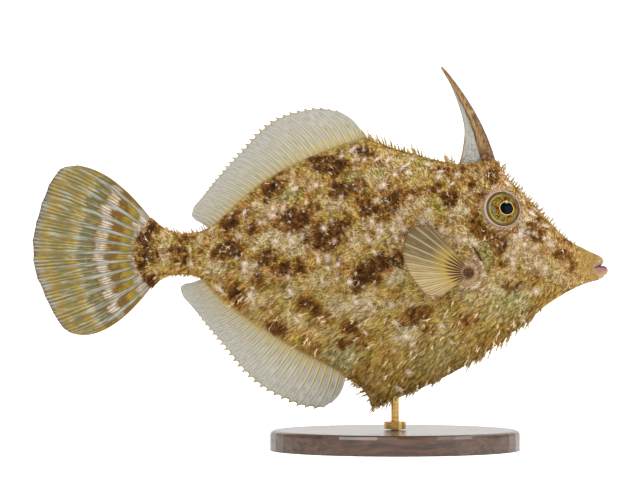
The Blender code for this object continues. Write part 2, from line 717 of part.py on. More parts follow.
def spine_mesh(grow=0.0, steps=9, sides=10):
    """The tapered, curved spine."""
    bm = bmesh.new()
    rings = []
    for i in range(steps + 1):
        t = i / steps
        centre = spine_axis(t)
        run = spine_axis(t + 0.01) - spine_axis(t - 0.01)
        forward = Vector((run.y, -run.x)).normalized()
        taper = (1 - t) ** SPINE_TAPER
        fore, across = (
            tip + (base - tip) * taper + grow for base, tip in zip(SPINE_BASE_HALF, SPINE_TIP_HALF)
        )
        ring = []
        for k in range(sides):
            roll = math.tau * k / sides
            flat = centre + forward * fore * math.cos(roll)
            ring.append(bm.verts.new((flat.x, across * math.sin(roll), flat.y)))
        rings.append(ring)
    join_rings(bm, rings)
    cap_tube(bm, rings)
    return bm


def spine_web(columns=4, rows=8):
    """The thin skin between the spine and the back, with a hollow rear edge."""
    rear_of = curve_along(WEB_REAR_EDGE)
    bm = bmesh.new()
    left, right = [], []
    for j in range(rows + 1):
        s = j / rows
        rear = Vector(rear_of(s))
        front = spine_axis(WEB_SPAN[0] + (WEB_SPAN[1] - WEB_SPAN[0]) * s)
        for sheet, side in ((left, 1), (right, -1)):
            flats = [rear + (front - rear) * c / columns for c in range(columns + 1)]
            sheet.append([bm.verts.new((p.x, side * WEB_HALF_THICKNESS, p.y)) for p in flats])
    close_plate(bm, left, right)
    return make_object("spine_web", bm, "fin")


def fins():
    """Makes every fin and the dorsal spine, each cut clear of what it grows from."""
    clear_of_body = [
        edge_fin("soft_dorsal_fin", back, DORSAL_ROOTS_X, -FIN_ROOT_SINK, DORSAL_TIPS, DORSAL_RAYS,
                 DORSAL_BULGE),
        edge_fin("anal_fin", belly, ANAL_ROOTS_X, FIN_ROOT_SINK, ANAL_TIPS, ANAL_RAYS, ANAL_BULGE),
        tail_fin(),
        make_object("dorsal_spine", spine_mesh(), "spine"),
        spine_web(),
    ]
    boolean(clear_of_body[-1], [make_object("grown_spine", spine_mesh(GAP), "spine")], "DIFFERENCE")
    for fin in clear_of_body:
        boolean(fin, [make_object("grown_body", body_mesh(GAP), "skin")], "DIFFERENCE")
    for side, word in ((1, "left"), (-1, "right")):
        pectoral_fin(side, word)


def across_cut(line, x, z):
    """Distance of a place in the side view from a cut, positive on its lower or rear side."""
    (cut_x, cut_z), (run_x, run_z) = line
    return ((x - cut_x) * run_z - (z - cut_z) * run_x) / math.hypot(run_x, run_z)


def region_of(x, z):
    """The body node that a place in the side view belongs to."""
    if x < TAIL_CUT[0][0]:
        return "tail_base"
    if across_cut(FLAP_CUT, x, z) > 0:
        return "belly_flap"
    return "head" if across_cut(HEAD_CUT, x, z) < 0 else "trunk"


def near_a_cut(x, z, clearance=TASSEL_CUT_CLEARANCE):
    """True where a place in the side view is close to a cut that parts the body."""
    return any(abs(across_cut(line, x, z)) < clearance for line in (TAIL_CUT, HEAD_CUT, FLAP_CUT))


def tassel(root, direction, length):
    """A tapered skin tassel that bends towards the tail, with its root sunk in the skin."""
    bm = bmesh.new()
    direction = direction.normalized()
    bend = Vector((-TASSEL_BEND * length, 0, 0))
    turn = turned_to(direction)
    waist_height, waist_share = TASSEL_WAIST
    rings = []
    for height, share in ((-TASSEL_SINK, 1.0), (waist_height * length, waist_share)):
        centre = root + direction * height + bend * max(0.0, height / length) ** 2
        ring = []
        for k in range(TASSEL_SIDES):
            roll = math.tau * k / TASSEL_SIDES
            spoke = Vector((math.cos(roll), math.sin(roll), 0))
            ring.append(bm.verts.new(centre + turn @ spoke * TASSEL_RADIUS * share))
        rings.append(ring)
    join_rings(bm, rings)
    tip = bm.verts.new(root + direction * length + bend)
    bm.faces.new(rings[0])
    for k in range(TASSEL_SIDES):
        bm.faces.new((rings[1][k], rings[1][(k + 1) % TASSEL_SIDES], tip))
    bmesh.ops.recalc_face_normals(bm, faces=bm.faces)
    return make_object("tassel", bm, "skin")


def outline_tassels(dice):
    """Roots, directions and lengths of the tassels along the back and the belly."""
    spots = []
    for line, runs in ((back, BACK_TASSELS), (belly, BELLY_TASSELS)):
        for start, end, count, lean, short, tall in runs:
            for i in range(count):
                shift = 0.5 + dice.uniform(-TASSEL_SPREAD, TASSEL_SPREAD)
                x = start + (end - start) * (i + shift) / count
                direction = Vector((lean[0], dice.uniform(-0.25, 0.25), lean[1]))
                root = Vector((x, dice.uniform(-0.3, 0.3), line(x)))
                spots.append((root, direction, dice.uniform(short, tall)))
    return spots


def flank_tassels(dice):
    """Roots, directions and lengths of the tassels scattered over both flanks."""
    spots = []
    while len(spots) < FLANK_TASSELS:
        x = dice.uniform(*FLANK_TASSEL_X)
        low, high = belly(x) + FLANK_TASSEL_EDGE, back(x) - FLANK_TASSEL_EDGE
        z, side = dice.uniform(low, high), dice.choice((-1, 1))
        bare = any(math.dist((x, z), (spot_x, spot_z)) < reach for spot_x, spot_z, reach in FLANK_BARE)
        crowded = any(
            side * root.y > 0 and math.dist((x, z), (root.x, root.z)) < FLANK_TASSEL_SPACING
            for root, _, _ in spots
        )
        if bare or crowded or high - low < FLANK_MIN_DEPTH:
            continue
        root, outward = surface_frame(x, z, side)
        direction = outward + Vector((FLANK_LEAN[0], 0, FLANK_LEAN[1]))
        spots.append((root, direction, dice.uniform(*FLANK_TASSEL_LENGTHS)))
    return spots


def add_tassels(nodes):
    """Fuses the tassels with the body nodes that they grow from."""
    dice = random.Random(TASSEL_SEED)
    groups = {name: [] for name in nodes}
    for root, direction, length in outline_tassels(dice) + flank_tassels(dice):
        if not near_a_cut(root.x, root.z):
            groups[region_of(root.x, root.z)].append(tassel(root, direction, length))
    for name, group in groups.items():
        boolean(nodes[name], group, "UNION")


def rod(radius, bottom, top, segments=12):
    """An upright round bar on the rod's axis, as a mesh."""
    bm = bmesh.new()
    bmesh.ops.create_cone(
        bm, cap_ends=True, segments=segments, radius1=radius, radius2=radius, depth=top - bottom,
        matrix=Matrix.Translation((ROD_X, 0, (top + bottom) / 2)),
    )
    return bm


def stand():
    """The oval base with its socket, the collar and the rod."""
    bm = bmesh.new()
    size = Matrix.Diagonal((BASE_LENGTH / 2, BASE_WIDTH / 2, BASE_HEIGHT, 1))
    bmesh.ops.create_cone(
        bm, cap_ends=True, segments=BASE_SEGMENTS, radius1=1, radius2=1, depth=1,
        matrix=Matrix.Translation((ROD_X, 0, BASE_HEIGHT / 2)) @ size,
    )
    rim = [e for e in bm.edges if all(v.co.z > BASE_HEIGHT / 2 for v in e.verts)]
    bmesh.ops.bevel(bm, geom=rim, offset=BASE_BEVEL, segments=2, profile=0.5, affect="EDGES")
    base = make_object("stand_base", bm, "wood")
    bore_radius = ROD_RADIUS + GAP
    socket = make_object("socket", rod(bore_radius, BASE_SOCKET_FLOOR, 2 * BASE_HEIGHT), "wood")
    boolean(base, [socket], "DIFFERENCE")
    collar_floor = BASE_HEIGHT + GAP
    collar_bar = rod(COLLAR_RADIUS, collar_floor, collar_floor + COLLAR_HEIGHT, COLLAR_SEGMENTS)
    collar = make_object("stand_collar", collar_bar, "brass")
    boolean(collar, [make_object("bore", rod(bore_radius, 0, 3 * BASE_HEIGHT), "brass")], "DIFFERENCE")
    make_object("stand_rod", rod(ROD_RADIUS, BASE_SOCKET_FLOOR + GAP, ROD_TOP), "brass")


def build():
    """Makes every node of the fish and its stand."""
    nodes = body_nodes()
    lids, sockets = eyes()
    boolean(nodes["head"], lids + [lip(UPPER_LIP), lip(LOWER_LIP)], "UNION")
    nostrils = [nostril_cutter(x, z, side) for x, z in NOSTRILS for side in (1, -1)]
    boolean(nodes["head"], sockets + [mouth_cutter()] + nostrils, "DIFFERENCE")
    boolean(nodes["trunk"], [pectoral_fold(1), pectoral_fold(-1)], "UNION")
    boolean(nodes["trunk"], [gill_cutter(1), gill_cutter(-1)], "DIFFERENCE")
    fins()
    add_tassels(nodes)
    stand()
    for name in ("belly_flap", "trunk"):
        bore = make_object("bore", rod(ROD_RADIUS + GAP, 0, ROD_TOP + GAP), "skin")
        boolean(nodes[name], [bore], "DIFFERENCE")


for old_object in list(bpy.data.objects):
    bpy.data.objects.remove(old_object)
build()
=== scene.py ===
"""Looks of the life-size filefish model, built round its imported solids.

Lengths are in millimetres until a mesh is written, when they become metres. The fish faces
+X, its back is +Z, its mid plane is Y = 0, and the camera looks along +Y at its right side.
Places are rows (x, y, z), the side view is x and z alone, and a share runs from 0 to 1.
"""

import logging
import math
from collections.abc import Callable, Sequence
from dataclasses import dataclass
from enum import Enum

import bpy
import numpy as np
from mathutils import Matrix, Vector


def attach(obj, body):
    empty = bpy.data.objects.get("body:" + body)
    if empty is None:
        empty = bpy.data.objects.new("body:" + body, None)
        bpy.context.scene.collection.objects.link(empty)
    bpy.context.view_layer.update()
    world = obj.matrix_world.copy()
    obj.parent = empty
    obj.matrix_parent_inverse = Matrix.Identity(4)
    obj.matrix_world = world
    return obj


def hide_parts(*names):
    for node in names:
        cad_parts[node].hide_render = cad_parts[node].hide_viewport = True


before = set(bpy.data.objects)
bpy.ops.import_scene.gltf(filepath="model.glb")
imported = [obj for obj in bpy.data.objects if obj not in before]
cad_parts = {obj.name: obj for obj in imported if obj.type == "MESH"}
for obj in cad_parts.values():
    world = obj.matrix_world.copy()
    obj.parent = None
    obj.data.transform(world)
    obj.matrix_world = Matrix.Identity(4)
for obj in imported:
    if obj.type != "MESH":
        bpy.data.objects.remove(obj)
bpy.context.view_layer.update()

Array = np.ndarray
Object = bpy.types.Object
Material = bpy.types.Material
Point = tuple[float, float]
Point3 = tuple[float, float, float]
Colour = tuple[float, float, float]
Place = Callable[[Array, Array], Array]

MM = 0.001
TAU = math.tau
BAKE_MAP = "OFBake"
ACROSS = np.array((0.0, 1.0, 0.0))
log = logging.getLogger("filefish")


class Side(Enum):
    """The two flanks, by the sign of their Y."""

    RIGHT = -1
    LEFT = 1

    @property
    def word(self) -> str:
        """The flank, as the names of its pieces say it."""
        return self.name.lower()


class Slot(Enum):
    """The material slots."""

    SKIN = "skin"
    FIN = "fin_membrane"
    PECTORAL = "pectoral_membrane"
    TAIL = "tail_membrane"
    SPINE = "spine"
    EYE = "eye"
    WOOD = "stand_wood"
    METAL = "stand_metal"


def shade(*channels: float) -> Colour:
    """Turns a display colour, each channel 0 to 255, into linear light."""
    shares = (channel / 255 for channel in channels)
    return tuple(s / 12.92 if s <= 0.04045 else ((s + 0.055) / 1.055) ** 2.4 for s in shares)


def ease(low: float, high: float, value: Array) -> Array:
    """Goes smoothly from 0 where the value is low to 1 where it is high, whichever is larger."""
    share = np.clip((value - low) / (high - low), 0.0, 1.0)
    return share * share * (3 - 2 * share)


def hump(distance: Array, width: float) -> Array:
    """A round hump that falls away over a width, read at each distance from its crest."""
    return np.exp(-((distance / width) ** 2))


def dome(share: Array, power: float = 2) -> Array:
    """Falls from 1 to 0 as the share nears 1: a quarter circle, or squarer by the power."""
    return np.sqrt(np.clip(1 - share**power, 0, 1))


def unit(vectors: Array) -> Array:
    """Scales each row to length one."""
    return vectors / np.maximum(np.linalg.norm(vectors, axis=-1, keepdims=True), 1e-12)


def columns(*parts: Array | float) -> Array:
    """Sets numbers side by side, so that each place gets a row."""
    return np.stack(np.broadcast_arrays(*parts), axis=-1)


def both_faces(share: Array) -> tuple[Array, Array]:
    """How far in from its start a share over one face and back lies, and -1 or 1 for the face."""
    return 1 - np.abs(2 * share - 1), np.where(share < 0.5, -1.0, 1.0)


def bowed(start: Array, control: Array, end: Array, share: Array) -> Array:
    """Rows at a share of the way along curves from start to end, drawn to a control point."""
    s = share[:, None]
    return start * (1 - s) ** 2 + control * 2 * s * (1 - s) + end * s * s


def painted(colour: Array, *layers: tuple[Array | Colour, Array]) -> Array:
    """Lays colours over rows of colour.

    Args:
        colour: The rows.
        layers: Each a colour, or as many rows, and how much of it every row takes.

    Returns:
        The painted rows.
    """
    for tone, share in layers:
        colour = colour + (np.asarray(tone) - colour) * share[..., None]
    return colour


def path_distance(x: Array, z: Array, path: Sequence[Point]) -> Array:
    """Distance of places in the side view from a path of straight runs.

    Args:
        x: Places along the body.
        z: Their heights.
        path: The path's points.

    Returns:
        The distance of each place.
    """
    nearest = np.full_like(x, np.inf)
    for (ax, az), (bx, bz) in zip(path, path[1:]):
        run_x, run_z = bx - ax, bz - az
        share = np.clip(((x - ax) * run_x + (z - az) * run_z) / (run_x**2 + run_z**2), 0, 1)
        nearest = np.minimum(nearest, np.hypot(x - ax - share * run_x, z - az - share * run_z))
    return nearest


class SmoothLine:
    """A curve through points (x, value), with x rising, that never overshoots them."""

    def __init__(self, *points: Point) -> None:
        """Works out the slope at each point.

        Args:
            points: The points.
        """
        self.x, self.value = (np.array(row) for row in zip(*points))
        step = np.diff(self.x)
        slope = np.diff(self.value) / step
        left, right = slope[:-1], slope[1:]
        rising = left * right > 0
        w_left, w_right = 2 * step[1:] + step[:-1], step[1:] + 2 * step[:-1]
        safe_left, safe_right = np.where(rising, left, 1.0), np.where(rising, right, 1.0)
        middle = np.where(rising, (w_left + w_right) / (w_left / safe_left + w_right / safe_right), 0)
        self.slope = np.concatenate([slope[:1], middle, slope[-1:]])

    def __call__(self, x: Array) -> Array:
        """Reads the curve.

        Args:
            x: Where to read it. Past its ends the curve stays level.

        Returns:
            The values there.
        """
        x = np.clip(x, self.x[0], self.x[-1])
        i = np.clip(np.searchsorted(self.x, x, side="right") - 1, 0, len(self.x) - 2)
        step = self.x[i + 1] - self.x[i]
        t = (x - self.x[i]) / step
        rise = (1 + 2 * t) * (1 - t) ** 2 * self.value[i] + t * t * (3 - 2 * t) * self.value[i + 1]
        bend = t * (1 - t) ** 2 * self.slope[i] + t * t * (t - 1) * self.slope[i + 1]
        return rise + bend * step


class PlaneCurve:
    """A smooth curve run evenly, from share 0 to share 1, through points (x, z)."""

    def __init__(self, *points: Point) -> None:
        """Spaces the points by their distance."""
        steps = [math.dist(a, b) for a, b in zip(points, points[1:])]
        shares = np.concatenate([[0.0], np.cumsum(steps)]) / sum(steps)
        self.lines = [SmoothLine(*zip(shares, row)) for row in zip(*points)]

    def __call__(self, share: Array) -> Array:
        """Returns one row (x, z) for each share."""
        return columns(*(line(share) for line in self.lines))


class Mottle:
    """Soft seeded noise over the side view, between 0 and 1."""

    CELLS = 64

    def __init__(self, seed: int) -> None:
        """Draws the lattice that the noise is read from."""
        self.lattice = np.random.default_rng(seed).random((self.CELLS, self.CELLS))

    def __call__(self, x: Array, z: Array, size: float, layers: int = 2) -> Array:
        """Reads the noise, eased between the nearest points of its lattice.

        Args:
            x: Places along the body.
            z: Their heights.
            size: Width of the largest patches.
            layers: How many layers of ever finer patches to add.

        Returns:
            The noise at each place.
        """
        total, weight, grid, n = np.zeros_like(x), 0.0, self.lattice, self.CELLS
        for k in range(layers):
            finer = 2.0**k
            a, b = x / size * finer + 7.3 * k, z / size * finer + 3.1 * k
            i, j = np.floor(a).astype(int), np.floor(b).astype(int)
            u, v = ease(0, 1, a - i), ease(0, 1, b - j)
            low, high = (grid[i % n, m % n] * (1 - u) + grid[(i + 1) % n, m % n] * u for m in (j, j + 1))
            total += (low * (1 - v) + high * v) / finer
            weight += 1 / finer
        return total / weight


class Signal:
    """A node's output, on which sums are written as on numbers."""

    def __init__(self, nodes: "Nodes", socket: bpy.types.NodeSocket) -> None:
        """Keeps the output and the nodes that it is one of."""
        self.nodes, self.socket = nodes, socket

    def maths(self, operation: str, *others: "Signal | float") -> "Signal":
        """The result of an operation on this output and others."""
        return self.nodes.maths(operation, self, *others)

    def __add__(self, other: "Signal | float") -> "Signal":
        """The sum."""
        return self.maths("ADD", other)

    def __sub__(self, other: "Signal | float") -> "Signal":
        """The difference."""
        return self.maths("SUBTRACT", other)

    def __rsub__(self, other: float) -> "Signal":
        """What is left of a number."""
        return self.nodes.maths("SUBTRACT", other, self)

    def __mul__(self, other: "Signal | float") -> "Signal":
        """The product."""
        return self.maths("MULTIPLY", other)

    def __abs__(self) -> "Signal":
        """The size without its sign."""
        return self.maths("ABSOLUTE")

    def level(self, low: float, high: float) -> "Signal":
        """Goes smoothly from 0 where this is low to 1 where it is high, as ease does."""
        inputs = {"Value": self, "From Min": low, "From Max": high}
        return self.nodes.add("MapRange", inputs, "Result", interpolation_type="SMOOTHSTEP")

    def ramp(self, *stops: tuple[float, Colour]) -> "Signal":
        """Looks this up in a colour ramp.

        Args:
            stops: Places and their colours.

        Returns:
            The colour.
        """
        colour = self.nodes.add("ValToRGB", {"Fac": self}, "Color")
        elements = colour.socket.node.color_ramp.elements
        while len(elements) < len(stops):
            elements.new(1.0)
        for element, (place, tone) in zip(elements, stops):
            element.position = place
            element.color = (*tone, 1.0)
        return colour

    def painted(self, *layers: tuple["Signal", "Signal | Colour"]) -> "Signal":
        """Lays colours over this one.

        Args:
            layers: Each a share and the colour that is laid on by it.

        Returns:
            The colour that they make.
        """
        colour = self
        for share, tone in layers:
            colour = self.nodes.mixed(share, colour, tone)
        return colour


class Nodes:
    """A material and its node tree, with short calls that add a node and wire it up."""

    def __init__(self, name: str) -> None:
        """Makes the material, with its Principled shader."""
        self.material: Material = bpy.data.materials.new(name)
        self.material.use_nodes = True
        self.tree = self.material.node_tree

    def feed(self, socket: bpy.types.NodeSocket, value: object) -> None:
        """Links an output to an input, or sets its value.

        Args:
            socket: The input.
            value: An output, a number or a colour.
        """
        if isinstance(value, Signal):
            self.tree.links.new(value.socket, socket)
        else:
            is_colour = socket.type == "RGBA" and len(value) == 3
            socket.default_value = (*value, 1.0) if is_colour else value

    def add(
        self, kind: str, inputs: dict[str | int, object], output: str | int = 0, **settings: object
    ) -> Signal:
        """Adds a node.

        Args:
            kind: The node's type.
            inputs: A number, a colour or an output for each input, by name or number.
            output: The output that is asked for, by name or number.
            settings: The node's own properties.

        Returns:
            That output.
        """
        node = self.tree.nodes.new("ShaderNode" + kind)
        for key, value in settings.items():
            setattr(node, key, value)
        for key, value in inputs.items():
            self.feed(node.inputs[key], value)
        return Signal(self, node.outputs[output])

    def carried(self, attribute: str, output: str = "Fac") -> Signal:
        """What the mesh carries under a name, as a number or as a colour."""
        return self.add("Attribute", {}, output, attribute_name=attribute)

    def place(self, stretch: Point3 = (1.0, 1.0, 1.0), turn: Point3 = (0.0, 0.0, 0.0)) -> Signal:
        """The piece's own coordinates, in millimetres, scaled along each axis and turned."""
        own, scale = self.add("TexCoord", {}, "Object"), [axis / MM for axis in stretch]
        return self.add("Mapping", {"Vector": own, "Scale": scale, "Rotation": turn})

    def vector(self, x: Signal, y: Signal) -> Signal:
        """Two numbers as one flat vector."""
        return self.add("CombineXYZ", {0: x, 1: y})

    def length(self, x: Signal, y: Signal) -> Signal:
        """The length of a flat vector."""
        return self.add("VectorMath", {0: self.vector(x, y)}, "Value", operation="LENGTH")

    def maths(self, operation: str, *values: Signal | float) -> Signal:
        """The result of one operation on numbers or outputs."""
        return self.add("Math", dict(enumerate(values)), operation=operation)

    def noise(
        self, size: float, detail: float = 2.0, warp: float = 0.0, place: Signal | None = None
    ) -> Signal:
        """Noise between 0 and 1, in patches of a size, read on the piece's own or a given place."""
        inputs = {"Vector": place or self.place(), "Scale": 1 / size, "Detail": detail, "Distortion": warp}
        return self.add("TexNoise", inputs, "Fac")

    def mixed(self, share: object, first: object, second: object, way: str = "MIX") -> Signal:
        """Mixes two colours by a share, each an output or a colour."""
        inputs = {"Factor": share, 6: first, 7: second}
        return self.add("Mix", inputs, 2, data_type="RGBA", blend_type=way)

    def finished(
        self, colour: object, height: Signal | None = None, depth: float = 0.0, **inputs: object
    ) -> Material:
        """Feeds the shader.

        Args:
            colour: The base colour.
            height: What bumps the surface, if anything does.
            depth: The bumps' full height, in millimetres.
            inputs: The shader's other inputs, with an underscore for each space in a name.

        Returns:
            The material.
        """
        if height:
            inputs["Normal"] = self.add("Bump", {"Height": height, "Distance": depth * MM, "Strength": 1.0})
        for name, value in {"Base_Color": colour, **inputs}.items():
            self.feed(self.tree.nodes["Principled BSDF"].inputs[name.replace("_", " ")], value)
        return self.material


def deselect() -> None:
    """Leaves edit mode and deselects every object."""
    if bpy.context.object and bpy.context.object.mode != "OBJECT":
        bpy.ops.object.mode_set(mode="OBJECT")
    bpy.ops.object.select_all(action="DESELECT")


def points_of(piece: Object) -> Array:
    """The places of a mesh's vertices, as stored."""
    values = np.empty(len(piece.data.vertices) * 3)
    piece.data.vertices.foreach_get("co", values)
    return values.reshape(-1, 3)


def move_points(piece: Object, places: Array) -> None:
    """Puts a mesh's vertices at places given in millimetres."""
    piece.data.vertices.foreach_set("co", (places * MM).ravel())
    piece.data.update()


def named(name: str) -> Object:
    """Names the object that an operator has just made, and its mesh."""
    bpy.context.object.name = bpy.context.object.data.name = name
    return bpy.context.object


def carry(piece: Object, name: str, values: Array) -> None:
    """Writes a number or a colour for each vertex.

    Args:
        piece: The mesh object.
        name: The attribute's name.
        values: One number for each vertex, or a row of three for a colour.
    """
    kind, key = ("FLOAT", "value") if values.ndim == 1 else ("FLOAT_COLOR", "color")
    rows = values if values.ndim == 1 else columns(*values.T, 1.0)
    piece.data.attributes.new(name, kind, "POINT").data.foreach_set(key, rows.ravel())


def sheet(
    name: str, steps: tuple[int, int], place: Place, facts: dict[str, Place] | None = None
) -> Object:
    """Shapes a fine grid into a closed form whose edges meet.

    Args:
        name: The piece's name.
        steps: Grid steps along both shares.
        place: Gives the place of each pair of shares.
        facts: Attributes that the mesh carries, from the same shares.

    Returns:
        The piece, with meeting points merged and its faces outwards.
    """
    deselect()
    bpy.ops.mesh.primitive_grid_add(x_subdivisions=steps[0], y_subdivisions=steps[1], size=1.0)
    piece = named(name)
    shares = np.clip(points_of(piece)[:, :2].T + 0.5, 0, 1)
    move_points(piece, place(*shares))
    for fact, value in (facts or {}).items():
        carry(piece, fact, value(*shares))
    piece.data.uv_layers[0].name = BAKE_MAP
    bpy.ops.object.mode_set(mode="EDIT")
    bpy.ops.mesh.select_all(action="SELECT")
    bpy.ops.mesh.remove_doubles(threshold=1e-7)
    bpy.ops.mesh.dissolve_degenerate(threshold=1e-7)
    bpy.ops.mesh.select_all(action="SELECT")
    bpy.ops.mesh.normals_make_consistent(inside=False)
    bpy.ops.object.mode_set(mode="OBJECT")
    bpy.ops.object.shade_smooth()
    return piece


def dress(piece: Object, material: Material, slot: Slot) -> None:
    """Gives a piece its looks, and reports it.

    Args:
        piece: The mesh object.
        material: Its finish.
        slot: The material slot that the finish belongs to.
    """
    piece.data.materials.clear()
    piece.data.materials.append(material)
    piece.data.calc_loop_triangles()
    log.info("%s: %d triangles, %s", piece.name, len(piece.data.loop_triangles), slot.value)


def settle(piece: Object, material: Material, slot: Slot, *stands_for: str) -> None:
    """Puts a new piece on the body and dresses it.

    Args:
        piece: The finished mesh.
        material: Its finish.
        slot: The material slot that the finish belongs to.
        stands_for: The CAD nodes that it replaces.
    """
    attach(piece, "root")
    dress(piece, material, slot)
    if stands_for:
        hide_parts(*stands_for)


@dataclass(frozen=True)
class BodyForm:
    """The body's plain surface, from curves of back, belly, width and section.

    Its two shares are along, from the tail to the snout, and around, from the keel up the
    right flank to the back and down the left flank.
    """

    back: SmoothLine = SmoothLine(
        (-33.6, 46.4), (-31.8, 44.7), (-30.2, 43.8), (-27.6, 43.2), (-24.4, 43.5), (-22, 44.5),
        (-19.3, 46.7), (-15.2, 50.6), (-11.4, 53.6), (-5.8, 56.9), (0.1, 59.5), (5.2, 61.4),
        (8.7, 62.2), (11.2, 61.6), (14.2, 60.5), (19, 59.1), (24.4, 57.6), (27.6, 57),
        (31, 57.3), (34.6, 57.8), (36, 56.6), (37.9, 53.9), (41.8, 50), (46.4, 45),
        (48.4, 43), (51, 41.1), (53.3, 40), (55.8, 38.9),
    )
    belly: SmoothLine = SmoothLine(
        (-33.6, 32.4), (-31.8, 34.2), (-30.2, 35), (-27.6, 35.2), (-24.9, 34.9), (-23.2, 34),
        (-21.6, 31.9), (-19.6, 29.9), (-16.7, 27.6), (-11.1, 23.9), (-4.5, 19.8), (2.1, 16.5),
        (5.5, 14.6), (7.8, 13.2), (9.4, 11.5), (10.1, 10.2), (10.5, 9.1), (11.3, 8.9),
        (12.8, 9.4), (16.9, 11.1), (21.9, 13.3), (27.6, 16.2), (33.6, 19.9), (40, 24.8),
        (45.6, 29.3), (48.7, 31.3), (51, 32.5), (53.3, 33.4), (55.8, 34),
    )
    half_width: SmoothLine = SmoothLine(
        (-33.6, 1), (-30, 1.7), (-26, 2.1), (-21, 2.8), (-12, 4.4), (0, 6),
        (12, 7), (24, 7.3), (33, 6.9), (38, 6.2), (44, 4.8), (50, 3.3), (55.8, 1.8),
    )
    widest: SmoothLine = SmoothLine(
        (-33.6, 39.4), (-26, 39.3), (-12, 41.5), (0, 42.5), (12, 42.5), (24, 42),
        (36, 42.5), (44, 39.8), (50, 37.4), (55.8, 36.5),
    )
    keel_pinch: SmoothLine = SmoothLine(
        (-33.6, 1), (-24, 1.1), (-8, 1.5), (20, 1.55), (36, 1.35), (50, 1.05), (55.8, 1)
    )
    ridge_pinch: float = 1.2
    edge: float = 0.9
    edge_share: float = 0.6
    tail_end: float = -33.6
    snout_end: float = 55.8
    tail_bow: float = 3.7
    bow_start: float = -26.0
    tail_rounding: float = 0.5
    snout_rounding: float = 3.0
    even_share: float = 0.55
    station_shares: tuple[float, ...] = (0.0, 0.10, 0.40, 0.46, 0.60, 0.86, 1.0)
    station_places: tuple[float, ...] = (-33.6, -22.0, 7.0, 11.4, 26.0, 44.0, 55.8)

    def station(self, along: Array) -> Array:
        """The station of the loft at each share of the body's length."""
        return np.interp(along, self.station_shares, self.station_places)

    def rise(self, around: Array) -> Array:
        """How high in the section a share lies, from -1 at the keel to 1 on the back."""
        up = both_faces(around)[0]
        return -np.cos(math.pi * up) * (1 - self.even_share) + (2 * up - 1) * self.even_share

    def reach(self, station: Array, rise: Array) -> Array:
        """From the widest height to the back or the keel, at one station."""
        middle = self.widest(station)
        return np.where(rise > 0, self.back(station) - middle, middle - self.belly(station))

    def lowness(self, at: Array) -> Array:
        """How far places lie below the widest height."""
        return self.widest(at[:, 0]) - at[:, 2]

    def inset(self, at: Array) -> Array:
        """How far inside the outline places lie, below the back or above the keel."""
        return np.minimum(self.back(at[:, 0]) - at[:, 2], at[:, 2] - self.belly(at[:, 0]))

    def half_thickness(self, station: Array, rise: Array) -> Array:
        """Half the body's thickness, without the rounding of its ends.

        Args:
            station: Stations of the loft.
            rise: Heights in the section, from -1 to 1.

        Returns:
            The half thickness at each.
        """
        pinch = np.where(rise > 0, self.ridge_pinch, self.keel_pinch(station))
        edge = np.minimum(self.edge, self.edge_share * self.half_width(station))
        flesh = (self.half_width(station) - edge) * np.clip(1 - rise**2, 0, 1) ** (pinch / 2)
        return flesh + edge * dome(rise, 8)

    def end_share(self, station: Array) -> Array:
        """Falls from 1 to 0 in a round where the body closes at either end."""
        tail = np.clip((station - self.tail_end) / self.tail_rounding, 0, 1)
        return dome(1 - np.minimum(tail, np.clip((self.snout_end - station) / self.snout_rounding, 0, 1)))

    def bow(self, station: Array, z: Array) -> Array:
        """How far the tail base bows back.

        Args:
            station: Stations of the loft.
            z: Heights.

        Returns:
            The bow at each.
        """
        run = np.clip((self.bow_start - station) / (self.bow_start - self.tail_end), 0, 1)
        half = (self.back(station) - self.belly(station)) / 2
        off_centre = np.minimum(1, np.abs(z - self.belly(station) - half) / half)
        return self.tail_bow * run**2 * (1 - off_centre**2)

    def place(self, along: Array, around: Array) -> Array:
        """The plain surface.

        Args:
            along: Shares of the length.
            around: Shares of the way round.

        Returns:
            A place for each pair.
        """
        station, rise = self.station(along), self.rise(around)
        z = self.widest(station) + rise * self.reach(station, rise)
        y = self.half_thickness(station, rise) * self.end_share(station)
        return columns(station - self.bow(station, z), both_faces(around)[1] * y, z)

    def spans(self, along: Array, around: Array, step: float = 5e-4) -> tuple[Array, Array]:
        """The surface's rates of change along and around.

        Args:
            along: Shares of the length.
            around: Shares of the way round.
            step: Share by which the surface is sampled to either side.

        Returns:
            The two rates, one row each for each pair of shares.
        """
        low, high = np.clip(along - step, 0, 1), np.clip(along + step, 0, 1)
        lengthwise = (self.place(high, around) - self.place(low, around)) / (high - low)[:, None]
        low, high = np.clip(around - step, 0, 1), np.clip(around + step, 0, 1)
        return lengthwise, (self.place(along, high) - self.place(along, low)) / (high - low)[:, None]

    def outward(self, along: Array, around: Array) -> Array:
        """The outward direction of the plain surface."""
        return unit(np.cross(*self.spans(along, around)))

    def shares_at(self, x: Array, z: Array, side: Array) -> Array:
        """The shares of places in the side view.

        Args:
            x: Places along the body.
            z: Their heights.
            side: -1 for the right flank and 1 for the left.

        Returns:
            Two rows, the shares along and those around.
        """
        table = np.linspace(0, 0.5, 2001)
        gap = z - self.widest(x)
        around = np.interp(np.clip(gap / self.reach(x, gap), -1, 1), self.rise(table), table)
        along = np.interp(x, self.station_places, self.station_shares)
        return np.stack([along, np.where(side < 0, around, 1 - around)])

    def spot(self, x: float, z: float, side: Side) -> tuple[Vector, Vector]:
        """One place on a flank and the outward direction there."""
        shares = self.shares_at(np.array([x]), np.array([z]), np.array([side.value]))
        return Vector(self.place(*shares)[0]), Vector(self.outward(*shares)[0])


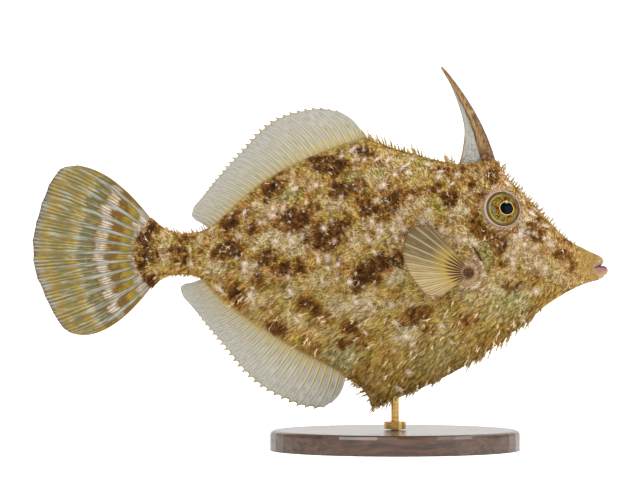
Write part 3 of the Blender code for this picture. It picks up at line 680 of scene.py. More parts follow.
@dataclass(frozen=True)
class Relief:
    """What stands out of the plain surface or is sunk into it: lids, folds, slits and sheaths."""

    form: BodyForm
    eye: Point = (36.1, 48.1)
    socket_floor: float = 3.0
    socket_rim: float = 3.45
    socket_depth: float = 1.9
    lid_radius: float = 3.7
    lid_width: float = 0.34
    lid_height: float = 0.2
    lid_rear_height: float = 0.1
    second_lid_radius: float = 4.3
    lobe: Point = (29.2, 35.7)
    lobe_radius: float = 2.3
    lobe_height: float = 1.0
    fold_radius: float = 3.1
    fold_width: float = 0.34
    fold_height: float = 0.55
    gill: tuple[Point, ...] = ((30.4, 40.6), (31.1, 39.4), (31.8, 38.0))
    gill_width: float = 0.3
    gill_depth: float = 0.8
    gill_edge: tuple[Point, ...] = ((29.2, 41.6), (30.3, 40.0), (31.3, 38.0), (32.2, 36.2))
    gill_edge_height: float = 0.3
    nostrils: tuple[Point, ...] = ((41.2, 47.2), (42.2, 46.0))
    nostril_radius: float = 0.42
    lip_groove: tuple[Point, ...] = ((54.9, 38.9), (54.4, 37.4), (54.4, 35.6), (54.8, 34.2))
    sheath_height: float = 0.22
    sheath_width: float = 0.5
    dorsal_sheath: Point = (-21.4, 8.2)
    anal_sheath: Point = (-22.6, 5.0)
    flesh_waves: Mottle = Mottle(3)
    flesh_height: float = 0.28
    grain_height: float = 0.1

    def eye_distance(self, at: Array) -> Array:
        """How far places on the body are from the middle of the eye on their own flank."""
        middle = np.array(self.form.spot(*self.eye, Side.LEFT)[0])
        return np.linalg.norm(columns(at[:, 0], np.abs(at[:, 1]), at[:, 2]) - middle, axis=1)

    def from_lobe(self, x: Array, z: Array) -> tuple[Array, Array]:
        """How far places are from the pectoral lobe's middle, and which share of that is forward."""
        far = np.hypot(x - self.lobe[0], z - self.lobe[1])
        return far, (x - self.lobe[0]) / np.maximum(far, 1e-6)

    def eye_relief(self, at: Array) -> Array:
        """The socket, with a rolled edge and a shallow second fold round it.

        Args:
            at: Places on the plain surface.

        Returns:
            Its height at each.
        """
        far = self.eye_distance(at)
        rearward = np.clip((self.eye[0] - at[:, 0]) / np.maximum(far, 1e-6), 0, 1)
        lid = hump(far - self.lid_radius - 0.12 * rearward, self.lid_width)
        lid *= self.lid_height + self.lid_rear_height * rearward
        second = 0.14 * hump(far - self.second_lid_radius, 0.3)
        return lid + second - self.socket_depth * ease(self.socket_rim, self.socket_floor, far)

    def pectoral_relief(self, x: Array, z: Array) -> Array:
        """The lobe that carries the pectoral fin, and the folds in front of it."""
        far, forward = self.from_lobe(x, z)
        fold = self.fold_height * hump(far - self.fold_radius, self.fold_width)
        return self.lobe_height * dome(far / self.lobe_radius) + fold * ease(-0.35, 0.35, forward)

    def gill_relief(self, x: Array, z: Array) -> Array:
        """The gill slit, with a raised edge behind it."""
        edge = self.gill_edge_height * hump(path_distance(x, z, self.gill_edge), 0.35)
        return edge - self.gill_depth * hump(path_distance(x, z, self.gill), self.gill_width)

    def small_relief(self, x: Array, z: Array) -> Array:
        """Nostrils, the groove behind the lips and the sheaths at the fins' roots.

        Args:
            x: Places along the body.
            z: Their heights.

        Returns:
            Its height at each place.
        """
        height = -0.3 * hump(path_distance(x, z, self.lip_groove), 0.35)
        for nostril_x, nostril_z in self.nostrils:
            far = np.hypot(x - nostril_x, z - nostril_z)
            height += 0.22 * hump(far - self.nostril_radius, 0.16) - 0.5 * hump(far, 0.22)
        for below, (start, end) in (
            (self.form.back(x) - z, self.dorsal_sheath), (z - self.form.belly(x), self.anal_sheath)
        ):
            span = ease(start - 1, start + 1, x) * ease(end + 1, end - 1, x)
            height += self.sheath_height * span * hump(below - 0.9, self.sheath_width)
        return height

    def __call__(self, at: Array) -> Array:
        """How far the skin stands out of the plain surface.

        Args:
            at: Places on the plain surface.

        Returns:
            The height at each.
        """
        x, z = at[:, 0], at[:, 2]
        waves = (self.flesh_waves(x, z, 6.0) - 0.5) * self.flesh_height
        grain = (self.flesh_waves(x, z, 0.7) - 0.5) * self.grain_height * (1 - 0.7 * ease(44, 52, x))
        forms = self.eye_relief(at) + self.pectoral_relief(x, z) + self.gill_relief(x, z)
        return forms + self.small_relief(x, z) + waves * ease(3.6, 5.5, self.eye_distance(at)) + grain


# Dark blotches, each (x, z, half length, half height, tilt in degrees, depth)
BLOTCHES = (
    (0.6, 57.2, 2.6, 1.3, -12, 1), (4, 56, 2.1, 1.7, 0, 1), (-9.6, 52.4, 2.6, 1.6, 38, 1),
    (-5.4, 46.2, 2.9, 2.2, 0, 1), (-3, 47.6, 2, 1.4, 20, 0.8), (5.2, 52, 2.9, 1.5, 8, 1),
    (-1, 48.2, 1.2, 1, 0, 0.6), (1, 42.2, 2.7, 2.9, 0, 1), (3.4, 44.8, 2.2, 1.8, 30, 0.9),
    (-17.8, 45.4, 3.2, 1.5, 38, 1), (-13, 44.4, 1.6, 1.1, 20, 0.55), (-19.3, 39.4, 1.6, 1.4, 0, 0.9),
    (-16.8, 40.2, 1.9, 1.3, 10, 0.9), (-9.8, 38.6, 2.1, 1.7, 20, 0.9), (-6.6, 36.2, 2.2, 1.3, -10, 0.9),
    (-4, 36.7, 2, 1.4, 10, 0.9), (-11.8, 34.2, 1.3, 1.2, 0, 0.9), (-16.8, 31.6, 1.4, 1.6, 0, 1),
    (-15.8, 29.6, 1.5, 1, -35, 0.8), (-2.4, 29.9, 1.7, 1.4, 0, 1), (-0.4, 28.2, 2, 1.5, -40, 1),
    (-8.2, 24.8, 1.9, 1.3, -20, 1), (-1, 20.8, 1, 0.9, 0, 0.8), (-23.8, 39.4, 0.9, 0.7, 0, 0.7),
    (9.4, 59.3, 1.8, 1, -10, 0.95), (14.6, 50.2, 3.4, 1.7, 20, 0.9), (9.6, 48.4, 2.5, 1.6, 10, 1),
    (22.8, 52.4, 1.9, 1, 20, 0.7), (20, 51.2, 1.3, 0.9, 0, 0.6), (25.8, 50.2, 1.7, 1.3, 20, 0.9),
    (11.8, 46.6, 1.6, 1, 0, 0.55), (12.2, 37.4, 3.4, 1.7, 28, 1), (9.2, 35.4, 2.6, 2, 20, 1),
    (8, 33.2, 1.9, 1.2, 10, 0.7), (15.8, 38.4, 1.6, 1.5, 0, 0.8), (19.6, 27.4, 2.4, 1.4, 20, 0.85),
    (6.6, 24.6, 1.6, 1.2, 0, 0.95), (8.2, 22, 1.4, 1, 0, 0.45), (5.2, 21.6, 1.2, 1.1, 0, 0.8),
    (21.8, 24.4, 1.3, 1, 0, 0.6), (34.2, 54.8, 1.6, 1.4, 0, 1), (29.6, 56.1, 1.9, 0.6, 0, 0.6),
    (25, 55.6, 1.6, 0.9, 0, 0.8), (30.2, 53.2, 1.6, 1.1, 0, 0.8), (31.8, 50.6, 1.2, 1, 0, 0.6),
    (30.8, 45.6, 1.2, 1.5, 0, 0.8), (31.6, 43.4, 1.3, 1.2, 0, 0.7), (35.6, 41.2, 1.3, 2, 10, 0.8),
    (42.6, 43.4, 1.6, 1.2, -35, 0.8), (43.6, 46.4, 1.1, 0.8, -40, 0.6), (38, 44.2, 1.5, 0.8, 0, 0.55),
    (35.4, 37.2, 1.2, 0.9, 0, 0.6), (48.6, 38.8, 2, 1.2, -20, 0.55), (50.2, 37, 1.5, 1, 0, 0.4),
    (49, 41.6, 1, 0.5, -30, 0.6), (44.2, 42.2, 0.8, 0.8, 0, 0.5), (-33.4, 44.6, 1.5, 1.2, -40, 1),
    (-35, 42, 1.6, 1.4, 0, 0.9), (-34.4, 39.2, 2.2, 1.5, 0, 1), (-35.2, 37.2, 1.4, 1.2, 0, 0.8),
    (-33.4, 34.6, 1.6, 1.3, 40, 1), (-26.6, 42.2, 1.4, 1, 0, 0.7), (-26.8, 38.6, 1.9, 1.5, 0, 0.8),
    (-29, 40, 0.9, 0.8, 0, 0.6), (38.6, 33.4, 1.6, 1, 20, 0.4), (29.6, 26.4, 1.8, 1, 30, 0.4),
)

# Pale pinkish patches, each (x, z, half length, half height, tilt, strength)
PALE_PATCHES = (
    (2.8, 48.6, 1.8, 1.4, 0, 0.8), (19.4, 50, 2, 1.4, 0, 0.9), (16.4, 47.6, 1.4, 1, 0, 0.8),
    (21.4, 46.8, 1.8, 1, 0, 0.8), (9.8, 45.2, 1.4, 1, 0, 0.8), (15.2, 45.2, 1.4, 1, 0, 0.7),
    (7.2, 42.2, 1.8, 1.4, 0, 0.8), (15.6, 34.8, 1.8, 1.4, 0, 0.8), (8, 30, 2.4, 2, 0, 0.8),
    (3.6, 29.2, 1.9, 1.9, 0, 0.8), (13.4, 29.4, 1.6, 1.2, 0, 0.6), (17.4, 23.8, 2.6, 1.6, 20, 0.7),
    (-9.2, 46.4, 1.8, 1.5, 0, 0.9), (-8.6, 42.2, 3.2, 1.5, 8, 0.9), (-4.2, 40.4, 2.2, 1.4, 0, 0.8),
    (-14, 35.8, 1.8, 1.2, 0, 0.8), (-20.4, 36.6, 1.8, 1.3, 0, 0.8), (-11.4, 30.2, 2.4, 1.6, 0, 0.7),
    (-31, 40, 1, 3, 0, 0.9), (26.6, 48.2, 1.8, 2.2, 0, 0.8), (41.6, 46.2, 2, 1, -35, 1),
    (39.2, 41.2, 2.2, 2.5, 0, 0.8), (45.8, 41.2, 2, 1.2, -20, 0.9), (44.2, 37.4, 2, 1.4, -20, 0.8),
    (25.2, 24.6, 2, 1.4, 20, 0.6), (24, 43.6, 2, 1, 0, 0.6), (-12, 49, 1.4, 1, 30, 0.6),
    (-24, 41.6, 1.2, 1, 0, 0.6), (0, 34, 2.4, 1.6, 0, 0.6), (34, 32, 2, 1.4, 20, 0.6),
    (48, 34.6, 2.4, 1, -20, 0.6), (-4, 26, 2, 1, -20, 0.6), (29, 31, 1.8, 1.2, 0, 0.5),
)

# Grey green patches, in the same form
GREEN_PATCHES = (
    (6.4, 54.4, 2.2, 1, -10, 0.9), (-3.4, 43.2, 2.2, 0.8, 0, 0.8), (-7.4, 50.6, 2.2, 1, 20, 0.7),
    (5, 20, 3, 2.6, 0, 0.9), (38, 29.8, 4, 3, 30, 0.7), (24, 20, 5, 3, 28, 0.5),
    (11.4, 55.4, 2.4, 1.4, 0, 0.6), (10, 38.4, 2, 1, 0, 0.5), (-6, 31, 1.6, 2, 0, 0.5),
    (33.6, 39.4, 1.6, 2, 0, 0.5), (30.6, 34, 2, 1.2, 0, 0.4), (-12, 27.6, 2, 1, -30, 0.5),
)


@dataclass(frozen=True)
class Markings:
    """The colours that skin and coat share, as a function of the place on the flank."""

    relief: Relief
    ground: Colour = shade(170, 136, 68)
    warm: Colour = shade(148, 100, 34)
    olive: Colour = shade(150, 134, 52)
    rose: Colour = shade(194, 156, 110)
    belly: Colour = shade(160, 116, 34)
    # Painted shade, laid along the back and belly outlines and along the top of the head.
    keel: Colour = shade(140, 106, 48)
    strip: Colour = shade(186, 162, 100)
    snout: Colour = shade(159, 127, 66)
    pale: Colour = shade(208, 178, 138)
    green: Colour = shade(148, 152, 108)
    fringe: Colour = shade(128, 78, 18)
    core: Colour = shade(46, 20, 4)
    # Painted shade in the eye socket, between the eyeball and the lid.
    lid: Colour = shade(176, 150, 132)
    socket: Colour = shade(52, 38, 26)
    fold: Colour = shade(192, 166, 142)
    lobe: Colour = shade(150, 118, 80)
    lobe_core: Colour = shade(34, 8, 12)
    # Painted shade in the sunk gill slit.
    slit: Colour = shade(58, 36, 16)
    mouth_flesh: Colour = shade(128, 92, 82)
    warp: Mottle = Mottle(21)
    patches: Mottle = Mottle(22)
    wobble: float = 0.85
    twin_shift: Point = (0.9, -0.5)
    mouth: tuple[Point, ...] = ((55.8, 36.5), (57.2, 36.8))

    def spots(self, rows: Sequence[tuple[float, ...]], x: Array, z: Array) -> Array:
        """How strongly ragged patches cover each place.

        Args:
            rows: The patches, each (x, z, half length, half height, tilt, strength).
            x: Places along the body.
            z: Their heights.

        Returns:
            The strongest cover at each place, 0 to 1.
        """
        cover = np.zeros_like(x)
        ragged = (self.warp(x, z, 1.5, 4) - 0.5) * 2 * self.wobble
        for spot_x, spot_z, long, short, tilt, depth in rows:
            cos, sin = math.cos(math.radians(tilt)), math.sin(math.radians(tilt))
            run, lift = x - spot_x, z - spot_z
            far = np.hypot((run * cos + lift * sin) / long, (lift * cos - run * sin) / short)
            cover = np.maximum(cover, depth * ease(1.75, 0.5, far + ragged))
        return cover

    def ground_at(self, x: Array, z: Array) -> Array:
        """The ground colour: olive and tan in soft patches, yellower on the snout, with painted shade along
        the back and belly outlines and the top of the head.

        Args:
            x: Places along the body.
            z: Their heights.

        Returns:
            A row of colour for each place.
        """
        form = self.relief.form
        low = (form.widest(x) - z) / (form.widest(x) - form.belly(x))
        over, under = z - form.belly(x), form.back(x) - z
        brow = ease(28.0, 33.0, x) * ease(54.0, 48.0, x)
        return painted(
            np.tile(self.ground, (len(x), 1)),
            (self.olive, 0.85 * ease(0.46, 0.62, self.patches(x + 31, z + 17, 3.0, 3))),
            (self.rose, 0.9 * ease(0.5, 0.66, self.patches(x + 11, z + 43, 2.6, 3))),
            (self.warm, 0.85 * ease(0.52, 0.68, self.patches(x, z, 2.2, 3))),
            (self.belly, 0.7 * ease(0.5, 1.0, low)),
            # Painted shade: darker along the belly outline, the back outline and the top of the head.
            (self.keel, 0.8 * ease(2.2, 0.4, over)),
            (self.keel, 0.5 * ease(1.2, 0.2, under)),
            (self.keel, 0.75 * brow * ease(3.4, 1.0, under)),
            (self.strip, 0.8 * hump(under - 0.2, 0.3) * (x > -21.0) * (x < 8.6)),
            (self.strip, 0.8 * hump(over - 0.2, 0.3) * (x > -22.0) * (x < 5.0)),
            (self.snout, ease(47.0, 54.0, x)),
        )

    def darkness(self, at: Array) -> Array:
        """How dark the blotches make each place, a little apart on the two flanks.

        Args:
            at: Places on the skin.

        Returns:
            The darkness of each, 0 to 1.
        """
        x, y, z = at.T
        shift_x, shift_z = (shift * ease(-0.6, 0.6, y) for shift in self.twin_shift)
        cover = self.spots(BLOTCHES, x + shift_x, z + shift_z)
        torn = (self.warp(x + 5.1, z + 9.7, 0.8) - 0.5) * 2.2
        holes = 0.4 * ease(0.5, 0.66, self.warp(x + 15.1, z + 19.7, 0.45))
        return np.clip(cover + torn * np.clip(cover * (1.1 - cover) * 3, 0, 0.6) - holes * cover, 0, 1)

    def colour(self, at: Array) -> Array:
        """The colour of the skin, with lids, folds and the pectoral fin's lobe, and painted shade in the eye
        socket and the gill slit.

        Args:
            at: Places on the skin.

        Returns:
            One row of linear light for each place.
        """
        x, z, relief, dark = at[:, 0], at[:, 2], self.relief, self.darkness(at)
        eye_far = relief.eye_distance(at)
        lobe_far, forward = relief.from_lobe(x, z)
        core_far = np.hypot(x - relief.lobe[0] - 0.1, z - relief.lobe[1] + 0.2)
        fold = hump(lobe_far - relief.fold_radius, 0.55) * ease(-0.4, 0.3, forward)
        ring = hump(eye_far - relief.lid_radius - 0.05, 0.42)
        return painted(
            self.ground_at(x, z),
            (self.green, 0.85 * self.spots(GREEN_PATCHES, x, z)),
            (self.pale, 0.85 * self.spots(PALE_PATCHES, x, z)),
            (self.fringe, ease(0.06, 0.45, dark)),
            (self.core, 0.92 * ease(0.36, 0.95, dark)),
            (self.lobe, ease(2.8, 2.2, lobe_far)),
            (self.fold, 0.7 * hump(core_far - 1.9, 0.4)),
            (self.lobe_core, 0.95 * ease(1.55, 0.9, core_far)),
            (self.fold, 0.8 * fold),
            (self.fold, 0.7 * hump(path_distance(x, z, relief.gill_edge), 0.35)),
            # Painted shade: the sunk gill slit is painted dark.
            (self.slit, hump(path_distance(x, z, relief.gill), 0.34)),
            (self.lid, np.clip(1.15 * ring, 0, 0.95)),
            # Painted shade: the sunk socket round the eyeball is painted dark.
            (self.socket, ease(3.4, 3.2, eye_far)),
            (self.mouth_flesh, ease(1.55, 0.75, path_distance(x, z, self.mouth))),
        )


@dataclass(frozen=True)
class SkinFinish:
    """Velvety mottled skin: the carried colours broken up by fine worm-like lines and specks, with painted
    shade where the bumped grain is low.
    """

    light: Colour = shade(206, 176, 110)
    # Painted shade, laid where the grain that bumps the skin is low.
    dark: Colour = shade(96, 64, 26)

    def build(self) -> Material:
        """Makes the material."""
        nodes = Nodes("filefish_skin")
        colour, grain = nodes.carried("markings", "Color"), nodes.noise(0.32, 4.0)
        calm = nodes.add("RGBToBW", {"Color": colour}).level(0.0, 0.1)
        lines = abs(nodes.noise(0.5, 3.0, 0.9) - 0.5).level(0.045, 0.0) * calm
        specks = nodes.noise(0.22, 1.0).level(0.62, 0.72) * calm
        colour = colour.painted(
            # The grain's low places are darkened: painted shade in the hollows of the bump.
            (lines * 0.4, self.light), (grain.level(0.52, 0.38) * 0.75, self.dark),
            (specks * 0.35, self.light),
        )
        return nodes.finished(colour, lines * 0.5 + grain, 0.09, Roughness=0.6, Specular_IOR_Level=0.15)


@dataclass(frozen=True)
class CoatFinish:
    """Bristles and tassels: the colour that each one carries, with a soft gloss."""

    shadow: Colour = (0.82, 0.82, 0.82)
    light: Colour = (1.1, 1.1, 1.1)

    def build(self) -> Material:
        """Makes the material."""
        nodes = Nodes("filefish_bristles")
        tint = nodes.noise(0.3).ramp((0.3, self.shadow), (0.7, self.light))
        colour = nodes.mixed(1.0, nodes.carried("markings", "Color"), tint, "MULTIPLY")
        return nodes.finished(colour, Roughness=0.5, Specular_IOR_Level=0.12)


@dataclass(frozen=True)
class LipFinish:
    """Lips in the colour that they carry, finely creased with painted shade in the creases, and inside the
    mouth a red flesh darkened by painted shade.
    """

    # The red of the inside of the mouth, darkened by painted shade.
    deep: Colour = shade(92, 34, 28)
    # Painted shade, laid in the low places of the creases.
    rim: Colour = shade(130, 84, 66)

    def build(self) -> Material:
        """Makes the material."""
        nodes = Nodes("filefish_lips")
        creases = nodes.noise(0.5, 3.0, place=nodes.place((0.5, 3.0, 1.0)))
        colour = nodes.carried("markings", "Color").painted(
            # Painted shade: darker in the creases' low places, and dark inside the mouth.
            (creases.level(0.5, 0.34) * 0.35, self.rim), (nodes.carried("inner"), self.deep)
        )
        return nodes.finished(colour, creases, 0.06, Roughness=0.4, Coat_Weight=0.2, Coat_Roughness=0.3)


@dataclass(frozen=True)
class Skin:
    """The one skin over head, trunk, tail base and belly flap."""

    markings: Markings
    steps: tuple[int, int] = (316, 300)

    def place(self, along: Array, around: Array) -> Array:
        """The skin's surface, with its relief.

        Args:
            along: Shares of the length.
            around: Shares of the way round.

        Returns:
            A place for each pair.
        """
        form = self.markings.relief.form
        plain = form.place(along, around)
        height = self.markings.relief(plain) * form.end_share(form.station(along))
        height *= ease(0.0, 0.35, np.abs(plain[:, 1]))
        return plain + form.outward(along, around) * height[:, None]

    def build(self, finish: Material) -> None:
        """Makes the skin and paints it."""
        skin = sheet("skin", self.steps, self.place)
        carry(skin, "markings", self.markings.colour(points_of(skin) / MM))
        settle(skin, finish, Slot.SKIN, "head", "trunk", "tail_base", "belly_flap")


@dataclass
class Tuft:
    """A tuft's points and triangles, in units of its own reach, with its axis along +Z."""

    points: Array
    faces: Array
    ends: Array

    @classmethod
    def of_cones(cls, *cones: tuple[Point3, Point3, float, float]) -> "Tuft":
        """Joins slim three-sided cones into one small tuft.

        Args:
            cones: For each, its root, its tip and its radius at both ends.

        Returns:
            The tuft.
        """
        made = []
        for root, tip, radius, end in cones:
            axis = Vector(tip) - Vector(root)
            deselect()
            bpy.ops.mesh.primitive_cone_add(
                vertices=3, radius1=radius, radius2=end, depth=axis.length,
                location=(Vector(root) + Vector(tip)) / 2,
                rotation=axis.to_track_quat("Z", "Y").to_euler(),
            )
            made.append(bpy.context.object)
        for cone in made:
            cone.select_set(True)
        bpy.context.view_layer.objects.active = made[0]
        if len(made) > 1:
            bpy.ops.object.join()
        bpy.ops.object.transform_apply(location=True, rotation=True, scale=True)
        model = bpy.context.object
        mesh, points = model.data, points_of(model)
        mesh.calc_loop_triangles()
        faces = np.array([tuple(triangle.vertices) for triangle in mesh.loop_triangles])
        bpy.data.objects.remove(model)
        bpy.data.meshes.remove(mesh)
        return cls(points, faces, np.clip(np.linalg.norm(points * (0.3, 0.3, 1.0), axis=1), 0, 1))

    @classmethod
    def star(cls, arms: int, rise: float) -> "Tuft":
        """Arms of two lengths that spread from one root, and a short one in the middle.

        Args:
            arms: How many arms spread.
            rise: How far they stand off the skin.

        Returns:
            The tuft.
        """
        spread = []
        for k in range(arms):
            turn, reach = TAU * k / arms, 1.0 - 0.35 * (k % 2)
            tip = (reach * math.cos(turn), reach * math.sin(turn), rise)
            spread.append(((0, 0, rise - 0.2), tip, 0.085, 0.02))
        star = cls.of_cones(*spread, ((0, 0, -0.1), (0.06, 0.03, rise + 0.12), 0.2, 0.06))
        star.ends = np.clip(np.hypot(*star.points[:, :2].T) - 0.1, 0, 1)
        return star

    @classmethod
    def branched(cls, kinks: Sequence[Point3], stem: float, bend: float) -> "Tuft":
        """A bent stem with side branches, like a twig of coral.

        Args:
            kinks: For each branch, how far up the stem it starts, its turn and its length.
            stem: The stem's radius.
            bend: How far the stem's end bends away.

        Returns:
            The tuft.
        """
        knee = (0.08, 0.03, 0.55)
        cones = [
            ((0, 0, -0.1), knee, stem, 0.7 * stem),
            (knee, (knee[0] + bend, knee[1], 1.0), 0.7 * stem, 0.3 * stem),
        ]
        for height, turn, length in kinks:
            root = Vector((0.12 * height, 0.04 * height, height))
            turn = math.radians(turn)
            tip = root + length * Vector((0.8 * math.cos(turn), 0.8 * math.sin(turn), 0.6))
            cones.append((root, tip, 0.7 * stem, 0.25 * stem))
        return cls.of_cones(*cones)


# Runs of tassels along the outline: (first x, last x, count, lean in the side view, lengths)
BACK_RUNS = (
    (-30.8, -22.6, 16, (-0.45, 0.9), 0.5, 1.1),
    (8.8, 13.2, 13, (-0.45, 0.9), 0.9, 2.2),
    (13.2, 20.8, 18, (-0.1, 1), 0.6, 2.3),
    (20.8, 25, 5, (-0.1, 1), 0.3, 0.8),
    (25, 27.2, 8, (-0.15, 1), 0.9, 2.1),
    (35.2, 46, 34, (0.6, 0.8), 0.4, 1.3),
    (46, 51, 8, (0.65, 0.8), 0.3, 0.8),
)
BELLY_RUNS = (
    (-31.4, -23.6, 12, (-0.6, -0.8), 0.4, 0.9),
    (6.4, 10.2, 10, (-0.88, -0.4), 0.9, 1.9),
    (10.8, 15.8, 11, (-0.52, -0.86), 1.3, 2.6),
    (17.6, 20.6, 5, (-0.5, -0.87), 0.9, 1.7),
    (22.2, 24.4, 6, (-0.48, -0.88), 0.9, 1.8),
    (29.8, 34.6, 15, (-0.42, -0.91), 1, 2.3),
    (35.6, 38.4, 8, (-0.4, -0.92), 0.9, 2),
    (39.6, 44.4, 14, (-0.32, -0.95), 1, 2.4),
)


@dataclass(frozen=True)
class Growth:
    """Numbers, sizes and tints of what grows from the skin, for each flank."""

    bristles: int = 46000
    bristle_lengths: Point = (0.42, 0.95)
    bristle_radii: Point = (0.07, 0.12)
    stars: int = 170
    small_stars: int = 640
    star_reach: Point = (0.8, 1.5)
    twigs: int = 95
    twig_reach: Point = (0.7, 1.7)
    glow: Point = (0.72, 4.5)
    jitter: float = 0.12
    grains: Mottle = Mottle(77)
    grain: float = 0.36
    tints: tuple[Colour, ...] = (
        shade(72, 36, 6), shade(160, 98, 30), shade(146, 142, 66), shade(208, 168, 70),
        shade(246, 216, 140), shade(238, 198, 164), shade(255, 244, 214),
    )
    tint_shares: tuple[float, ...] = (0.23, 0.12, 0.08, 0.20, 0.20, 0.08, 0.09)
    star_tip: Colour = shade(255, 238, 220)
    twig_tip: Colour = shade(255, 232, 192)
    fringe_tip: Colour = shade(204, 186, 136)


class Coat:
    """Bristles, stars, twigs and fringes that grow from the skin.

    Roots are two rows of shares, along and around, with a column for each root. Frames are, for
    each root, a matrix whose columns are the tuft's axes, the last of them its own axis.
    """

    PATCH = 0.003

    def __init__(self, skin: Skin, growth: Growth, finish: Material, seed: int = 5) -> None:
        """Keeps what the coat is made from, and seeds its random draws.

        Args:
            skin: What it grows from.
            growth: Its numbers, sizes and tints.
            finish: Its material.
            seed: Seed of the draws.
        """
        self.skin, self.growth, self.finish = skin, growth, finish
        self.markings, self.relief = skin.markings, skin.markings.relief
        self.form = self.relief.form
        self.dice = np.random.default_rng(seed)

    def scatter(
        self, name: str, tuft: Tuft, roots: Array, frames: Array, sizes: Sequence[Array],
        tones: tuple[Array, Array],
    ) -> None:
        """Copies a tuft to many roots, as one mesh with its bake map.

        Args:
            name: The piece's name.
            tuft: What is copied.
            roots: Where the copies stand.
            frames: How they are turned.
            sizes: The scales of the three axes, one number each for each root.
            tones: For each root, the colours at the tuft's root and at its tips.
        """
        places, corners = self.skin.place(*roots), len(tuft.points)
        local = tuft.points * columns(*sizes)[:, None, :]
        faces = tuft.faces + (np.arange(len(places)) * corners)[:, None, None]
        mesh = bpy.data.meshes.new(name)
        mesh.vertices.add(len(places) * corners)
        mesh.loops.add(faces.size)
        mesh.loops.foreach_set("vertex_index", faces.ravel())
        mesh.polygons.add(faces.size // 3)
        mesh.polygons.foreach_set("loop_start", np.arange(0, faces.size, 3))
        piece = bpy.data.objects.new(name, mesh)
        move_points(piece, places[:, None, :] + np.einsum("nij,nvj->nvi", frames, local))
        mesh.update(calc_edges=True)
        bpy.context.scene.collection.objects.link(piece)
        root_tone, tip_tone = tones[0][:, None, :], tones[1][:, None, :]
        toned = root_tone + (tip_tone - root_tone) * tuft.ends[None, :, None]
        carry(piece, "markings", toned.reshape(-1, 3))
        self.map_patches(mesh, roots, len(tuft.faces))
        settle(piece, self.finish, Slot.SKIN)

    def map_patches(self, mesh: bpy.types.Mesh, roots: Array, faces: int) -> None:
        """Lays each tuft's faces in a small patch at its root's place on the skin's unwrap.

        Args:
            mesh: The joined mesh.
            roots: Where the tufts stand.
            faces: Faces in one tuft.
        """
        cells = math.ceil(math.sqrt(faces))
        cell = self.PATCH / cells
        number = np.arange(faces)
        corner = columns(number % cells, number // cells) * cell - self.PATCH / 2
        triangle = np.array([(0.06, 0.06), (0.94, 0.06), (0.06, 0.94)]) * cell
        middle = np.clip(roots.T, self.PATCH, 1 - self.PATCH)
        places = middle[:, None, None] + corner[:, None] + triangle
        mesh.uv_layers.new(name=BAKE_MAP).data.foreach_set("uv", places.ravel())

    def frames_along(self, axis: Array, outward: Array) -> Array:
        """Frames of tufts that point along given directions, each turned at random.

        Args:
            axis: For each root, the tuft's own axis.
            outward: For each root, the skin's outward direction.

        Returns:
            The frames.
        """
        side = unit(np.cross(axis, outward + (0.013, 0.007, 0.011)))
        third = np.cross(axis, side)
        turn = self.dice.uniform(0, TAU, len(axis))[:, None]
        first = side * np.cos(turn) + third * np.sin(turn)
        return np.stack([first, np.cross(axis, first), axis], axis=-1)

    def leaning(self, roots: Array, lean: Array, lift: Array) -> Array:
        """Frames of tufts that lean over the skin.

        Args:
            roots: Where they stand.
            lean: For each root, the way it leans in the side view, as (x, z).
            lift: For each root, how steeply it stands, in degrees from the skin.

        Returns:
            The frames.
        """
        outward, lift = self.form.outward(*roots), np.radians(lift)[:, None]
        flat = columns(lean[:, 0], 0.0, lean[:, 1])
        flat = unit(flat - outward * np.sum(flat * outward, axis=1)[:, None])
        return self.frames_along(unit(flat * np.cos(lift) + outward * np.sin(lift)), outward)

    def lie(self, at: Array, spread: float) -> Array:
        """The way hairs lie at places on the skin, with a random spread.

        Args:
            at: The places.
            spread: The spread, in radians.

        Returns:
            One row (x, z) for each place.
        """
        gap = -self.form.lowness(at)
        height = gap / self.form.reach(at[:, 0], gap)
        brow = ease(31.0, 38.0, at[:, 0]) * ease(0.35, 0.9, height)
        angle = np.arctan2((0.75 + 0.2 * brow) * height - 0.1, -0.8 + 1.4 * brow)
        angle += self.dice.normal(0, spread, len(at)) * (1 - 0.7 * ease(0.1, 0.7, -height))
        return columns(np.cos(angle), np.sin(angle))

    def bareness(self, at: Array) -> Array:
        """How bare the skin is at each place, up to 1 where nothing grows."""
        x, z = at[:, 0], at[:, 2]
        return np.clip(np.maximum.reduce([
            ease(4.35, 3.95, self.relief.eye_distance(at)),
            ease(3.3, 2.7, self.relief.from_lobe(x, z)[0]),
            ease(0.45, 0.15, path_distance(x, z, self.relief.gill)),
            0.25 * ease(44.0, 50.0, x) + 0.75 * ease(50.5, 54.0, x),
            ease(1.9, 1.1, z - self.form.belly(x)) * (x < 5.0) * (x > -22.5),
            ease(1.1, 0.6, self.form.back(x) - z) * (x < 8.0) * (x > -21.5),
        ]), 0, 1)

    def roots(self, count: int, side: Side, margin: float = 0.0) -> Array:
        """Draws roots evenly over one flank, fewer where it is bare.

        Args:
            count: How many.
            side: The flank.
            margin: How far from the ridge and the keel they stay.

        Returns:
            The roots.
        """
        kept, total = [], 0
        while total < count:
            along, girth = self.dice.random(count), self.dice.uniform(0, 0.5, count)
            drawn = np.stack([along, 1 - girth if side is Side.LEFT else girth])
            at = self.form.place(*drawn)
            area = np.linalg.norm(np.cross(*self.form.spans(*drawn)), axis=1)
            chance = area / np.quantile(area, 0.98) * (1 - self.bareness(at))
            keep = (self.dice.random(count) < chance) & (self.form.inset(at) >= margin)
            kept.append(drawn[:, keep])
            total += int(keep.sum())
        return np.concatenate(kept, axis=1)[:, :count]

    def tones(self, roots: Array, jitter: float = 0.0) -> Array:
        """The markings at the roots, or a little way off them, so that edges look torn.

        Args:
            roots: The roots.
            jitter: How far off.

        Returns:
            A row of colour for each root.
        """
        at = self.skin.place(*roots)
        for axis in (0, 2):
            at[:, axis] += self.dice.normal(0, 1, len(at)) * jitter
        return self.markings.colour(at)

